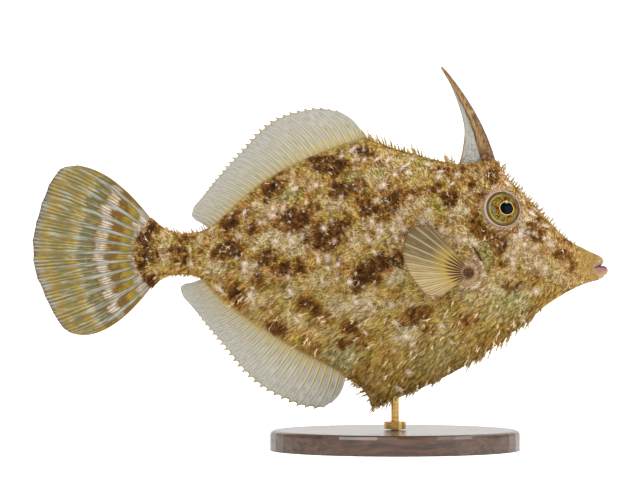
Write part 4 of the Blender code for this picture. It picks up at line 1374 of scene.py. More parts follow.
    def bristles(self, side: Side, part: int) -> None:
        """Grows one share of a flank's carpet of hairs.

        Args:
            side: The flank.
            part: Number of the share.
        """
        growth, count = self.growth, self.growth.bristles
        roots = self.roots(count, side)
        at = self.form.place(*roots)
        x, z = at[:, 0], at[:, 2]
        bare_foot = 1 - ease(5.0, 3.0, np.abs(x - 32.0)) * ease(40.0, 50.0, z)
        rim = ease(2.2, 0.3, self.form.inset(at)) * bare_foot
        low = ease(0.0, 12.0, self.form.lowness(at))
        lift = self.dice.uniform(14, 62, count) * (1 - 0.6 * rim) * (1 - 0.45 * low)
        frames = self.leaning(roots, self.lie(at, 0.75), lift)
        head = ease(28.0, 36.0, x)
        short = (1 - 0.24 * head * bare_foot - 0.32 * ease(44.0, 52.0, x)) * (1 - 0.3 * rim)
        length = self.dice.uniform(*growth.bristle_lengths, count) * (short + 0.75 * low)
        radius = self.dice.uniform(*growth.bristle_radii, count) * (1 - 0.15 * head)
        base = self.tones(roots, growth.jitter)
        grain = growth.grains(x + 40.0 * side.value, z, growth.grain)
        grain += self.dice.normal(0, 0.17, count)
        rank = np.argsort(np.argsort(grain)) / count
        tint = np.array(growth.tints)[np.searchsorted(np.cumsum(growth.tint_shares[:-1]), rank)]
        light = base @ np.array((0.3, 0.6, 0.1))
        share = self.dice.uniform(0.1, 0.75, count) * (0.22 + 0.78 * ease(0.02, 0.16, light))
        glow = (growth.glow[0] + np.ptp(growth.glow) * rank**1.6)[:, None]
        # The hairs' roots are painted darker than their tips (0.55 of their brightness before the tint):
        # painted shade among the hairs, near the skin.
        tones = np.minimum(base * (0.55 * glow), 0.9), np.minimum(painted(base * glow, (tint, share)), 0.95)
        hair = Tuft.of_cones(((0, 0, -0.08), (0, 0, 1), 1.0, 0.0))
        name = f"bristles_{side.word}_{part}"
        self.scatter(name, hair, roots, frames, (radius, radius, length), tones)

    def stars(
        self, side: Side, tuft: Tuft, count: int, shrink: float, shun: float, word: str
    ) -> None:
        """Scatters pale star-shaped tassels over a flank.

        Args:
            side: The flank.
            tuft: The star that is copied.
            count: How many.
            shrink: Scale of the usual reach.
            shun: How much they keep out of the dark blotches.
            word: Ending of the piece's name.
        """
        roots = self.roots(count * 4, side, 0.9)
        at = self.form.place(*roots)
        liking = 0.5 * self.markings.spots(PALE_PATCHES, at[:, 0], at[:, 2])
        liking -= shun * self.markings.darkness(at) + ease(44.0, 49.0, at[:, 0])
        liking -= 0.5 * ease(4.0, 14.0, self.form.lowness(at))
        roots = roots[:, np.argsort(liking + self.dice.random(len(at)) * 1.3)[-count:]]
        lean = self.lie(self.form.place(*roots), 0.5)
        frames = self.leaning(roots, lean, self.dice.uniform(48, 90, count))
        reach = self.dice.uniform(*self.growth.star_reach, count) * shrink
        base, share = self.tones(roots), self.dice.uniform(0.6, 1.0, count)
        heart = painted(base, (self.growth.star_tip, share))
        tip = painted(base * 1.25, (self.growth.star_tip, share * 0.45))
        self.scatter(f"stars_{side.word}_{word}", tuft, roots, frames, (reach,) * 3, (heart, tip))

    def twigs(self, side: Side, tuft: Tuft, word: str) -> None:
        """Grows pale twigs, most of them in the dark blotches and low on the flank.

        Args:
            side: The flank.
            tuft: The twig that is copied.
            word: Ending of the piece's name.
        """
        count = self.growth.twigs
        roots = self.roots(count * 14, side, 0.8)
        at = self.form.place(*roots)
        liking = self.markings.darkness(at) * 0.85
        liking = np.maximum(liking, 0.7 * ease(2.0, 12.0, self.form.lowness(at)))
        roots = roots[:, np.argsort(liking + self.dice.random(len(at)))[-count:]]
        at = self.form.place(*roots)
        lean = self.lie(at, 0.75)
        frames = self.leaning(roots, lean, self.dice.uniform(32, 66, count))
        reach = self.growth.twig_reach[0] + np.ptp(self.growth.twig_reach) * self.dice.random(count) ** 1.5
        tall = reach * (1 + 0.3 * ease(2.0, 12.0, self.form.lowness(at)))
        base, share = self.tones(roots), self.dice.uniform(0.7, 1.0, count)
        tip = painted(base, (self.growth.twig_tip, share))
        name = f"twigs_{side.word}_{word}"
        self.scatter(name, tuft, roots, frames, (reach, reach, tall), (tip * 0.9, tip))

    def fringe(self) -> None:
        """Grows forked tassels in runs along the back and the belly."""
        rows: list[tuple[float, ...]] = []
        for edge, runs in ((self.form.back, BACK_RUNS), (self.form.belly, BELLY_RUNS)):
            for start, end, count, lean, short, tall in runs:
                for i in range(count):
                    x = start + (end - start) * (i + self.dice.uniform(0.1, 0.9)) / count
                    inward = self.dice.uniform(0.05, 0.35)
                    z = float(edge(np.array(x))) - math.copysign(inward, lean[1])
                    length = inward + 0.45 + short + (tall - short) * self.dice.random() ** 1.2
                    tilt = self.dice.normal(0, 0.15, 2)
                    rows.append((x, z, lean[0] + tilt[0], tilt[1], lean[1], length))
        x, z, ahead, aside, up, length = np.array(rows).T
        side = self.dice.choice((-1, 1), len(rows))
        roots = self.form.shares_at(x, z, side)
        axis = unit(columns(ahead, aside + 0.25 * side, up))
        frames = self.frames_along(axis, self.form.outward(*roots))
        wide = 0.55 + 0.2 * length
        base = self.tones(roots) * 1.3
        tip = painted(base, (self.growth.fringe_tip, self.dice.uniform(0.75, 1.0, len(rows))))
        tuft = Tuft.branched(((0.14, 10, 0.5), (0.34, 190, 0.36)), 0.2, 0.08)
        self.scatter("fringe", tuft, roots, frames, (wide, wide, length), (base, tip))

    def build(self) -> None:
        """Grows the whole coat."""
        for side in Side:
            for part in (1, 2):
                self.bristles(side, part)
            self.stars(side, Tuft.star(12, 0.5), self.growth.stars, 1.0, 1.1, "wide")
            self.stars(side, Tuft.star(7, 0.9), self.growth.small_stars, 0.4, 0.1, "small")
            self.twigs(side, Tuft.branched(((0.25, 20, 0.4), (0.7, 150, 0.3)), 0.11, 0.3), "forked")
            self.twigs(side, Tuft.branched(((0.4, 250, 0.5), (0.6, 40, 0.2)), 0.1, -0.2), "curled")
        self.fringe()


@dataclass(frozen=True)
class FinForm:
    """A thin fin whose rays run from a root curve to a tip curve, in the side view."""

    name: str
    rays: int
    roots: Callable[[Array], Array]
    tips: PlaneCurve
    bulge: Callable[[Array], Array]
    stance: Callable[[Array, Array], tuple[Array, Array]]
    web: Point = (0.12, 0.06)
    ridge: Point = (0.17, 0.07)
    ridge_width: float = 0.17
    tooth: float = 0.5
    tooth_lean: float = 0.35
    tooth_width: float = 0.17
    columns_per_ray: int = 12
    rows: int = 44
    crowding: float = 0.55
    palm: float = 0.0
    thinning: float = 0.0

    def ray_at(self, across: Array) -> tuple[Array, Array]:
        """A column's place, counted in rays, and -1 or 1 for its face."""
        inward, face = both_faces(across)
        even = inward * (self.rays - 1)
        return even - self.crowding / TAU * np.sin(TAU * even), face

    def flat(self, ray: Array, along: Array) -> Array:
        """The fin in the side view, with its toothed edge.

        Args:
            ray: Places counted in rays.
            along: Shares of the way from root to edge.

        Returns:
            Rows (x, z).
        """
        t = np.clip(ray / (self.rays - 1), 0, 1)
        t = t * (1 + self.thinning * (1 - t))
        root, tip = self.roots(t), self.tips(t)
        place = bowed(root, (root + tip) / 2 + self.bulge(t), tip, along)
        peak = hump(ray - np.round(ray), self.tooth_width) * ease(0.92, 0.6, t)
        out = unit(tip - root) * (self.tooth * (peak - 0.2))[:, None]
        out[:, 0] -= self.tooth_lean * peak
        return place + out * along[:, None] ** 12

    def half_thickness(self, ray: Array, along: Array) -> Array:
        """Half the fin's thickness: thin skin, round rays, and a flesh palm at the root.

        Args:
            ray: Places counted in rays.
            along: Shares of the way from root to edge.

        Returns:
            The half thickness at each.
        """
        web, ridge = (root + (tip - root) * along for root, tip in (self.web, self.ridge))
        half = web + ridge * hump(ray - np.round(ray), self.ridge_width)
        half += self.palm * ease(0.36, 0.05, along)
        side_gap = np.minimum(ray, self.rays - 1 - ray) / (0.15 + 2.2 * self.palm)
        return half * dome(1 - np.clip(side_gap, 0, 1)) * dome(along, 60) * dome(1 - along, 60)

    def place(self, across: Array, along: Array) -> Array:
        """The fin's surface, over one face and back over the other."""
        ray, face = self.ray_at(across)
        middle, normal = self.stance(self.flat(ray, along), ray / (self.rays - 1))
        return middle + normal * (face * self.half_thickness(ray, along))[:, None]

    def build(self, finish: Material, slot: Slot, node: str) -> None:
        """Makes the fin in place of its CAD node.

        Args:
            finish: Its material.
            slot: The material slot.
            node: The CAD node.
        """
        steps = (2 * (self.rays - 1) * self.columns_per_ray, self.rows)
        facts = {"ray": lambda a, s: self.ray_at(a)[0], "reach": lambda a, s: s}
        settle(sheet(self.name, steps, self.place, facts), finish, slot, node)


@dataclass(frozen=True)
class MiddleFins:
    """Back, anal and tail fins, which stand in the mid plane."""

    form: BodyForm
    sink: float = 1.2
    sway: float = 0.5
    dorsal_roots: Point = (9.3, -21.6)
    dorsal_tips: PlaneCurve = PlaneCurve(
        (3.6, 67.8), (0, 68.3), (-4, 67.7), (-8, 66.4), (-11.6, 64), (-14.8, 60.6), (-18, 57.2),
        (-21.2, 53.6), (-23.8, 50.4), (-25.4, 48.4), (-25.7, 47), (-24.9, 45.9),
    )
    anal_roots: Point = (5.2, -22.8)
    anal_tips: PlaneCurve = PlaneCurve(
        (2.6, 9.6), (0.2, 8.5), (-3.2, 8.9), (-7, 10.4), (-11.6, 12.9), (-15.4, 16.3), (-18.8, 20.5),
        (-22.4, 24.7), (-25.6, 28.6), (-27.6, 31), (-28, 32.4), (-27.1, 33.3),
    )
    tail_tips: PlaneCurve = PlaneCurve(
        (-48.4, 56.9), (-50.8, 56.7), (-53, 55), (-54.9, 51.4), (-56.5, 46.6), (-57.5, 41.6),
        (-57.3, 37.2), (-55.4, 31.6), (-53.3, 27.2), (-51.3, 24.3), (-49.4, 23.2), (-47.4, 22.9),
    )
    tail_edge_bulge: float = 4.6
    tail_inset: float = 0.15

    def upright(self, flat: Array, _: Array) -> tuple[Array, Array]:
        """Stands a fin in the mid plane, with a slight sway away from the body.

        Args:
            flat: Places in the side view.

        Returns:
            Places on the mid surface, and its normal.
        """
        x, z = flat.T
        edge = np.where(z > 42, self.form.back(x), self.form.belly(x))
        sway = self.sway * np.clip(np.abs(z - edge) / 9, 0, 1) * np.sin(x / 4.1)
        return columns(x, sway, z), ACROSS

    def tail_stance(self, flat: Array, _: Array) -> tuple[Array, Array]:
        """Stands the tail fin in the mid plane, with its end swept a little to one side."""
        x, z = flat.T
        return columns(x, 1.1 * np.clip((-37 - x) / 20, 0, 1) ** 2, z), ACROSS

    def edge_fin(
        self, name: str, edge: SmoothLine, roots: Point, sink: float, tips: PlaneCurve, rays: int,
        bulge: Point,
    ) -> FinForm:
        """A soft fin along the back or the belly.

        Args:
            name: Its name.
            edge: The body's outline that it grows from.
            roots: Where along the body its first and last rays are.
            sink: How far inside the body its roots lie, signed.
            tips: Its outer edge.
            rays: How many rays it has.
            bulge: How far its first ray bows out.

        Returns:
            Its form.
        """

        def root_of(t: Array) -> Array:
            """Where rays start."""
            x = roots[0] + (roots[1] - roots[0]) * t
            return columns(x, edge(x) + sink)

        def bulge_of(t: Array) -> Array:
            """How rays bow."""
            return columns(bulge[0] * (1 - t) ** 2, bulge[1] * (1 - t) + 0.6 * np.copysign(t, bulge[1]))

        return FinForm(name, rays, root_of, tips, bulge_of, self.upright, thinning=0.35)

    def tail_fin(self) -> FinForm:
        """The fan-shaped tail fin."""
        end = self.form.tail_end
        top = float(self.form.back(np.array(end))) - self.tail_inset
        bottom = float(self.form.belly(np.array(end))) + self.tail_inset

        def root_of(t: Array) -> Array:
            """Where rays start."""
            z = top + (bottom - top) * t
            inside = 1.2 * (1 - np.abs(1 - 2 * t) ** 4)
            return columns(end - self.form.bow(np.full_like(z, end), z) + inside, z)

        def bulge_of(t: Array) -> Array:
            """How rays bow."""
            return columns(-0.3 * np.abs(1 - 2 * t), self.tail_edge_bulge * (1 - 2 * t) ** 3)

        return FinForm(
            "tail_fan", 12, root_of, self.tail_tips, bulge_of, self.tail_stance, columns_per_ray=20,
            rows=80, tooth=0.15, tooth_lean=0.0, ridge=(0.42, 0.12), ridge_width=0.3,
            web=(0.16, 0.06), crowding=0.2,
        )

    def build(self, soft: Material, tail: Material) -> None:
        """Makes the three fins.

        Args:
            soft: Material of the two soft fins.
            tail: Material of the tail fin.
        """
        back, belly = self.form.back, self.form.belly
        dorsal = self.edge_fin(
            "back_fin", back, self.dorsal_roots, -self.sink, self.dorsal_tips, 34, (1.9, 1.5)
        )
        anal = self.edge_fin("belly_fin", belly, self.anal_roots, self.sink, self.anal_tips, 32, (1.3, -0.9))
        dorsal.build(soft, Slot.FIN, "soft_dorsal_fin")
        anal.build(soft, Slot.FIN, "anal_fin")
        self.tail_fin().build(tail, Slot.TAIL, "tail_fin")


@dataclass(frozen=True)
class PectoralFin:
    """The small fan on a flank, which leans away from the body on a fleshy palm."""

    form: BodyForm
    side: Side
    root: Point = (29.2, 35.7)
    start: float = 0.35
    lift: float = 4.4
    cup: float = 0.8
    slant: float = 0.33
    root_share: float = 0.3
    base: PlaneCurve = PlaneCurve((28.6, 38.5), (26.6, 37.4), (25.7, 35.6), (26.3, 33.6), (27.9, 32.6))
    tips: PlaneCurve = PlaneCurve(
        (22.4, 43.9), (19.6, 44.9), (17.6, 43.9), (16.5, 41.6), (16.2, 39.0), (17.2, 36.0),
        (19.0, 33.2), (21.4, 31.1), (23.4, 31.0),
    )
    far_tip: Point = (16.2, 39.0)

    def stance(self, flat: Array, t: Array) -> tuple[Array, Array]:
        """Lifts the fan off the flank, cupped across.

        Args:
            flat: Places in the side view.
            t: Shares of the way from the upper to the lower edge.

        Returns:
            Places on the mid surface, and its normal.
        """
        x, z = flat.T
        out = np.hypot(x - self.root[0], z - self.root[1]) / math.dist(self.root, self.far_tip)
        y = abs(self.form.spot(*self.root, self.side)[0].y) + self.start + self.lift * out
        y -= self.cup * out**2 * np.cos(math.pi * (t - 0.5))
        return columns(x, self.side.value * y, z), unit(np.array((self.slant * self.side.value, 1.0, 0.0)))

    def build(self, finish: Material) -> None:
        """Makes the fin with its palm.

        Args:
            finish: Its material.
        """

        def root_of(t: Array) -> Array:
            """Where rays start."""
            return np.array(self.root) + (self.base(t) - np.array(self.root)) * self.root_share

        fan = FinForm(
            f"pectoral_{self.side.word}", 12, root_of, self.tips, lambda t: columns(0.0, 0.5 - t),
            self.stance, web=(0.10, 0.06), ridge=(0.16, 0.08), tooth=0.15, tooth_lean=0.0,
            columns_per_ray=14, rows=64, palm=0.55,
        )
        fan.build(finish, Slot.PECTORAL, f"pectoral_fin_{self.side.word}")


class RayMarks:
    """What a fin's colours are laid by: its rays, its reach and streaks that run with the rays."""

    def __init__(self, nodes: Nodes) -> None:
        """Reads the ray count, the share from root to edge and the way from the nearest ray."""
        self.ray, self.reach = nodes.carried("ray"), nodes.carried("reach")
        self.signed = (self.ray + 0.5).maths("FRACT") - 0.5
        self.streaks = nodes.noise(1 / 7, 4.0, place=nodes.vector(self.ray, self.reach * 0.8))

    def line(self, place: float, width: float) -> Signal:
        """A soft line along each ray, at a distance from it."""
        return abs(self.signed - place).level(width, width * 0.25)

    def comb(self, teeth: float, shift: float = 0.0) -> Signal:
        """Fine even lines along the rays, waved a little by the streaks, from 0 to 1."""
        turn = (self.ray + shift) * (TAU * teeth)
        return (turn + self.streaks * 6.0).maths("SINE").level(-0.8, 0.8)


@dataclass(frozen=True)
class RayFinish:
    """Thin lilac-grey skin with fine streaks, and rays of pale yellow beside brown."""

    name: str
    membrane: Colour = shade(151, 150, 146)
    streak_light: Colour = shade(169, 168, 163)
    streak_dark: Colour = shade(130, 126, 112)
    ray: Colour = shade(190, 176, 118)
    line: Colour = shade(132, 108, 52)
    root: Colour = shade(184, 164, 96)
    edge: Colour = shade(146, 122, 68)

    def layers(self, nodes: Nodes, marks: RayMarks) -> Signal:
        """The colours of skin and rays.

        Args:
            nodes: The material; not used here.
            marks: What they are laid by.

        Returns:
            The colour that they make.
        """
        reach = marks.reach
        fade = 1.0 - reach.level(0.25, 0.85) * 0.75
        ramp = marks.streaks.ramp((0.34, self.streak_dark), (0.48, self.membrane), (0.66, self.streak_light))
        return ramp.painted(
            (marks.comb(5.0) * 0.3, self.streak_dark),
            (marks.line(-0.03, 0.16) * fade * 0.72, self.line),
            (marks.line(-0.21, 0.1) * fade * 0.85, self.ray),
            (marks.line(0.13, 0.11) * fade, self.ray),
            (reach.level(0.34, 0.14) * 0.45, self.root),
            (reach.level(0.95, 0.99) * 0.7, self.edge),
        )

    def build(self) -> Material:
        """Makes the material."""
        nodes = Nodes(self.name)
        marks = RayMarks(nodes)
        colour = self.layers(nodes, marks)
        return nodes.finished(colour, marks.streaks, 0.07, Roughness=0.5, Specular_IOR_Level=0.25)


@dataclass(frozen=True)
class TailFinish(RayFinish):
    """Olive and gold ray groups that branch outwards, parted by grey webs, with curved bands."""

    olive: Colour = shade(120, 108, 34)
    gold: Colour = shade(154, 126, 26)
    deep: Colour = shade(78, 58, 16)
    brown: Colour = shade(104, 72, 4)
    grey_olive: Colour = shade(96, 94, 52)
    pale: Colour = shade(192, 178, 160)
    faint: Colour = shade(160, 148, 104)
    web: Colour = shade(130, 132, 124)
    web_light: Colour = shade(160, 164, 154)
    web_dark: Colour = shade(94, 88, 66)
    margin: Colour = shade(140, 134, 122)

    def bands(self, place: Signal) -> Signal:
        """The colours along a ray group, from its root to the fin's edge."""
        return place.ramp(
            (0.0, self.pale), (0.07, self.pale), (0.10, self.olive), (0.17, self.gold),
            (0.21, self.brown), (0.30, self.brown), (0.335, self.pale), (0.395, self.pale),
            (0.43, self.brown), (0.47, self.grey_olive), (0.56, self.grey_olive), (0.60, self.faint),
            (0.63, self.gold), (0.72, self.olive), (0.80, self.olive), (0.86, self.gold),
            (0.91, self.gold), (0.96, self.margin),
        )

    def layers(self, nodes: Nodes, marks: RayMarks) -> Signal:
        """The colours of ray groups and webs, whose bands lie a little apart from group to group.

        Args:
            nodes: The material.
            marks: What they are laid by.

        Returns:
            The colour that they make.
        """
        ray, reach, streaks, away = marks.ray, marks.reach, marks.streaks, abs(marks.signed)
        group = (ray * 2.0 + 0.5).maths("FLOOR")
        chance = nodes.add("TexWhiteNoise", {"W": group}, "Value", noise_dimensions="1D")
        centred = abs(ray * (1 / 5.5) - 1.0)
        bend = centred.maths("POWER", 2.0) * -0.04
        patches, comb = nodes.noise(1.6, 3.0), marks.comb(5.0)
        outermost = reach.level(0.6, 0.8) * 0.6
        merge = 1.0 - reach.level(0.45, 0.75) * 0.6
        web = streaks.ramp((0.38, self.web_dark), (0.5, self.web), (0.62, self.web_light))
        return self.bands(reach + (streaks - 0.5) * 0.09 + bend + (chance - 0.5) * 0.05).painted(
            (patches.level(0.52, 0.64) * 0.55, self.gold),
            (patches.level(0.46, 0.36) * 0.4, self.grey_olive),
            (marks.line(0.0, 0.09) * reach.level(0.3, 0.5) * 0.65, self.web),
            (marks.line(-0.23, 0.06) * outermost, self.web),
            (marks.line(0.23, 0.06) * outermost, self.web),
            (comb * 0.58, self.deep),
            (streaks.level(0.54, 0.66) * reach.level(0.3, 0.6) * 0.5, self.web_light),
            (abs(away - 0.34).level(0.05, 0.02) * 0.5, self.deep),
            (away.level(0.32, 0.40) * merge * 0.8, web),
            (centred.level(0.93, 0.99) * reach.level(0.9, 0.5) * 0.8, self.brown),
            (reach.level(0.955, 0.975) * comb * 0.55, self.deep),
        )


@dataclass(frozen=True)
class PectoralFinish(RayFinish):
    """Fine yellow rays on grey-brown skin, golden inside, with dark strokes at the roots, and painted shade
    over the outer half of the upper rays.
    """

    membrane: Colour = shade(98, 84, 60)
    streak_light: Colour = shade(124, 112, 86)
    streak_dark: Colour = shade(72, 58, 38)
    ray: Colour = shade(176, 158, 104)
    line: Colour = shade(84, 58, 22)
    flesh: Colour = shade(138, 108, 84)
    stroke: Colour = shade(62, 26, 0)
    glow: Colour = shade(150, 122, 34)
    lower: Colour = shade(168, 146, 104)

    def layers(self, nodes: Nodes, marks: RayMarks) -> Signal:
        """The colours of skin, rays and strokes.

        Args:
            nodes: The material; not used here.
            marks: What they are laid by.

        Returns:
            The colour that they make.
        """
        ray, reach, comb = marks.ray, marks.reach, marks.comb(3.0)
        fade = 1.0 - reach.level(0.5, 1.0) * 0.3
        narrow = abs(marks.signed) - (reach - 0.14).maths("MAXIMUM", 0.0) * 1.4
        ring = reach.level(0.04, 0.07) * reach.level(0.36, 0.26)
        ramp = marks.streaks.ramp((0.34, self.streak_dark), (0.5, self.membrane), (0.66, self.streak_light))
        return ramp.painted(
            (ray.level(4.0, 7.5) * 0.8, self.lower),
            (comb * 0.3, self.ray),
            (marks.comb(3.0, 0.17) * 0.5, self.line),
            # Painted shade: dark comb lines over the outer half of the upper rays.
            (ray.level(6.5, 3.0) * reach.level(0.4, 0.6) * comb * 0.8, self.streak_dark),
            (reach.level(0.6, 0.3) * 0.7, self.glow),
            (marks.line(0.0, 0.17) * fade * 0.62, self.ray),
            (reach.level(0.94, 1.0) * 0.5, self.line),
            (reach.level(0.1, 0.05), self.flesh),
            (narrow.level(0.1, 0.2) * ring, self.stroke),
        )


@dataclass(frozen=True)
class Spine:
    """The raised first spine of the back fin, with the web behind it."""

    base: Point = (33.9, 56.4)
    middle: Point = (30.5, 66.5)
    tip: Point = (24.2, 76.7)
    base_half: Point = (1.5, 0.95)
    tip_half: Point = (0.2, 0.14)
    taper: float = 0.8
    barbs: int = 46
    barb_height: float = 0.10
    rear_edge: PlaneCurve = PlaneCurve(
        (27.5, 56.2), (28.5, 60), (28.9, 63.7), (28.5, 66.3), (27.6, 69.3), (26.6, 71.9), (25.75, 73.9)
    )
    web_span: Point = (0.02, 0.88)
    web_half: float = 0.16
    web_folds: int = 7

    def axis(self, t: Array) -> Array:
        """Places (x, z) on the spine's curved axis."""
        base, middle, tip = (np.array(p) for p in (self.base, self.middle, self.tip))
        return bowed(base, middle * 2 - (base + tip) / 2, tip, t)

    def place(self, around: Array, along: Array) -> Array:
        """The spine's surface, with small barbs in front and behind.

        Args:
            around: Shares of the way round.
            along: Shares of the way from root to tip.

        Returns:
            A place for each pair.
        """
        run = unit(self.axis(along + 0.01) - self.axis(along - 0.01))
        taper, roll = (1 - along) ** self.taper, TAU * around
        fore, across = (t + (b - t) * taper for b, t in zip(self.base_half, self.tip_half))
        tooth = (along * self.barbs) % 1.0
        fore += self.barb_height * tooth * np.abs(np.cos(roll)) ** 6 * (1 - 0.6 * along)
        cap = dome(along, 80) * dome(1 - along, 80)
        x, z = (self.axis(along) + columns(run[:, 1], -run[:, 0]) * (fore * np.cos(roll) * cap)[:, None]).T
        return columns(x, across * np.sin(roll) * cap, z)

    def web_place(self, across: Array, along: Array) -> Array:
        """The web between the spine and its hollow rear edge.

        Args:
            across: Shares of the way over one face and back over the other.
            along: Shares of the way from root to tip.

        Returns:
            A place for each pair.
        """
        inward, face = both_faces(across)
        start, end = self.web_span
        front, rear = self.axis(start + (end - start) * along), self.rear_edge(along)
        x, z = (rear + (front - rear) * inward[:, None]).T
        rim = dome(1 - np.clip(inward / 0.06, 0, 1)) * (1 - inward**30)
        fold = 1 + 0.35 * np.sin(TAU * inward * self.web_folds)
        return columns(x, face * self.web_half * rim * fold * dome(1 - along * (1 - along) * 12, 1), z)

    def build(self, finish: Material, web_finish: Material) -> None:
        """Makes the spine and its web.

        Args:
            finish: The spine's material.
            web_finish: The web's.
        """
        facts = {"reach": lambda a, s: s, "front": lambda a, s: np.cos(TAU * a)}
        settle(sheet("back_spine", (24, 230), self.place, facts), finish, Slot.SPINE, "dorsal_spine")
        facts = {"reach": lambda a, s: s, "inward": lambda a, s: both_faces(a)[0]}
        settle(sheet("back_web", (96, 60), self.web_place, facts), web_finish, Slot.FIN, "spine_web")


@dataclass(frozen=True)
class SpineFinish:
    """Golden-brown horn with a dark streak up the lower front and a pale one beside it."""

    gold: Colour = shade(106, 70, 20)
    tan: Colour = shade(126, 92, 42)
    pale: Colour = shade(148, 124, 80)
    dark: Colour = shade(70, 38, 4)

    def build(self) -> Material:
        """Makes the material."""
        nodes = Nodes("filefish_spine")
        reach, front = nodes.carried("reach"), nodes.carried("front")
        grain = nodes.noise(0.35, 4.0, place=nodes.place((1.0, 1.0, 0.25), (0, math.radians(28), 0)))
        ahead, foot = front.level(0.1, 0.55) * reach.level(0.62, 0.35), reach.level(0.26, 0.12)
        blotch = nodes.noise(0.6, 4.0).level(0.44, 0.54)
        ramp = grain.ramp((0.36, self.dark), (0.46, self.gold), (0.56, self.tan), (0.66, self.pale))
        colour = ramp.painted(
            (front.level(0.6, 0.95) * 0.6, self.dark),
            (abs(front + 0.35).level(0.35, 0.1) * 0.6, self.pale),
            (ahead * blotch, self.dark),
            (foot * 0.6, self.tan),
            (foot * blotch, self.dark),
        )
        return nodes.finished(colour, grain, 0.1, Roughness=0.42)


@dataclass(frozen=True)
class WebFinish:
    """Grey-white skin, speckled darker towards the root, with a thin tan rear edge."""

    pale: Colour = shade(158, 156, 147)
    grey: Colour = shade(112, 110, 102)
    tan: Colour = shade(128, 102, 58)

    def build(self) -> Material:
        """Makes the material."""
        nodes = Nodes("filefish_spine_web")
        reach, inward, speckle = nodes.carried("reach"), nodes.carried("inward"), nodes.noise(0.3, 3.0)
        spots = speckle.level(0.46, 0.6) * reach.level(0.75, 0.0)
        lines = abs((inward * 30.0).maths("SINE")).level(0.25, 0.0)
        colour = nodes.mixed(spots, self.pale, self.grey).painted(
            (lines * 0.4, self.grey), (inward.level(0.09, 0.03), self.tan)
        )
        return nodes.finished(colour, speckle, 0.05, Roughness=0.5)


@dataclass(frozen=True)
class Eye:
    """A flattened glossy ball in its socket, ringed by a thick pale lid."""

    form: BodyForm
    side: Side
    middle: Point = (36.1, 48.1)
    radius: float = 3.55
    depth: float = 2.05
    sink: float = 0.95
    lid_radius: float = 3.58
    lid_tube: float = 0.18
    lid_rear: float = 0.16

    def set_in(self, local: Array, sink: float) -> Array:
        """Puts the eye's own places on the flank, with +Z turned outwards and +X kept forward.

        Args:
            local: The eye's own places.
            sink: How deep below the surface they start.

        Returns:
            The places on the flank.
        """
        skin, outward = self.form.spot(*self.middle, self.side)
        ahead = Vector((1, 0, 0))
        forward = (ahead - outward * ahead.dot(outward)).normalized()
        turn = Matrix((forward, outward.cross(forward), outward))
        return np.array(skin - outward * sink) + local @ np.array(turn)

    def ball(self, finish: Material) -> None:
        """Makes the eyeball, which carries where each point lies from its middle.

        Args:
            finish: Its material.
        """
        deselect()
        bpy.ops.mesh.primitive_uv_sphere_add(segments=96, ring_count=64, radius=1.0)
        ball = named(f"eyeball_{self.side.word}")
        local = points_of(ball) * (self.radius, self.radius, self.depth)
        carry(ball, "ahead", local[:, 0])
        carry(ball, "up", -local[:, 1] * self.side.value)
        move_points(ball, self.set_in(local, self.sink))
        bpy.ops.object.shade_smooth()
        settle(ball, finish, Slot.EYE, f"eye_{self.side.word}")

    def lid_place(self, round_eye: Array, round_tube: Array) -> Array:
        """The lid's surface, thicker behind the eye, with fine creases across it.

        Args:
            round_eye: Shares of the way round the eye.
            round_tube: Shares of the way round the lid's roll.

        Returns:
            A place for each pair.
        """
        turn, roll = TAU * round_eye, TAU * round_tube
        rear = self.lid_rear * np.clip(-np.cos(turn), 0, 1)
        tube = self.lid_tube + rear + 0.03 * np.sin(turn * 46) * np.cos(roll)
        ring = self.lid_radius + 0.5 * rear + tube * np.cos(roll)
        local = columns(ring * np.cos(turn), ring * np.sin(turn), 0.05 + tube * np.sin(roll))
        return self.set_in(local, 0.0)

    def lid(self, finish: Material) -> None:
        """Makes the lid."""
        facts = {"across": lambda a, s: np.cos(TAU * s), "rear": lambda a, s: np.clip(-np.cos(TAU * a), 0, 1)}
        settle(sheet(f"lid_{self.side.word}", (276, 20), self.lid_place, facts), finish, Slot.SKIN)


@dataclass(frozen=True)
class EyeFinish:
    """Gold, green and brown mottled iris round a blue-black pupil, under a clear gloss."""

    pupil_place: Point = (0.58, 0.02)
    pupil: Colour = shade(0, 6, 10)
    ring: Colour = shade(210, 174, 96)
    gold: Colour = shade(150, 108, 34)
    brown: Colour = shade(66, 30, 4)
    green: Colour = shade(86, 86, 34)
    teal: Colour = shade(84, 112, 92)
    rim: Colour = shade(112, 90, 46)
    edge: Colour = shade(122, 98, 60)
    pupil_radius: float = 1.26
    ring_radius: float = 1.36

    def build(self) -> Material:
        """Makes the material."""
        nodes = Nodes("filefish_eye")
        ahead, up = nodes.carried("ahead"), nodes.carried("up")
        from_x, from_z = (ahead - self.pupil_place[0]) * 0.9, up - self.pupil_place[1]
        far, whole = nodes.length(from_x, from_z), nodes.length(ahead, up)
        spread = nodes.vector(from_z.maths("ARCTAN2", from_x) * 2.2, far)
        fibres, patches = nodes.noise(1 / 1.9, 4.0, place=spread), nodes.noise(1.4)
        ramp = fibres.ramp((0.36, self.brown), (0.46, self.green), (0.55, self.gold), (0.64, self.brown))
        colour = ramp.painted(
            (patches.level(0.55, 0.6) * 0.8, self.teal),
            (patches.level(0.46, 0.4) * 0.85, self.brown),
            (whole.level(2.6, 2.9) * 0.7, self.rim),
            (abs(whole - 2.75).level(0.16, 0.03) * ahead.level(1.2, -1.2) * 0.5, self.ring),
            (whole.level(3.16, 3.3), self.edge),
            (far.level(self.ring_radius + 0.06, self.ring_radius), self.ring),
            (far.level(self.pupil_radius + 0.04, self.pupil_radius), self.pupil),
        )
        return nodes.finished(
            colour, Roughness=0.5, Specular_IOR_Level=0.0, Coat_Weight=0.4, Coat_Roughness=0.03,
            Coat_IOR=1.3,
        )


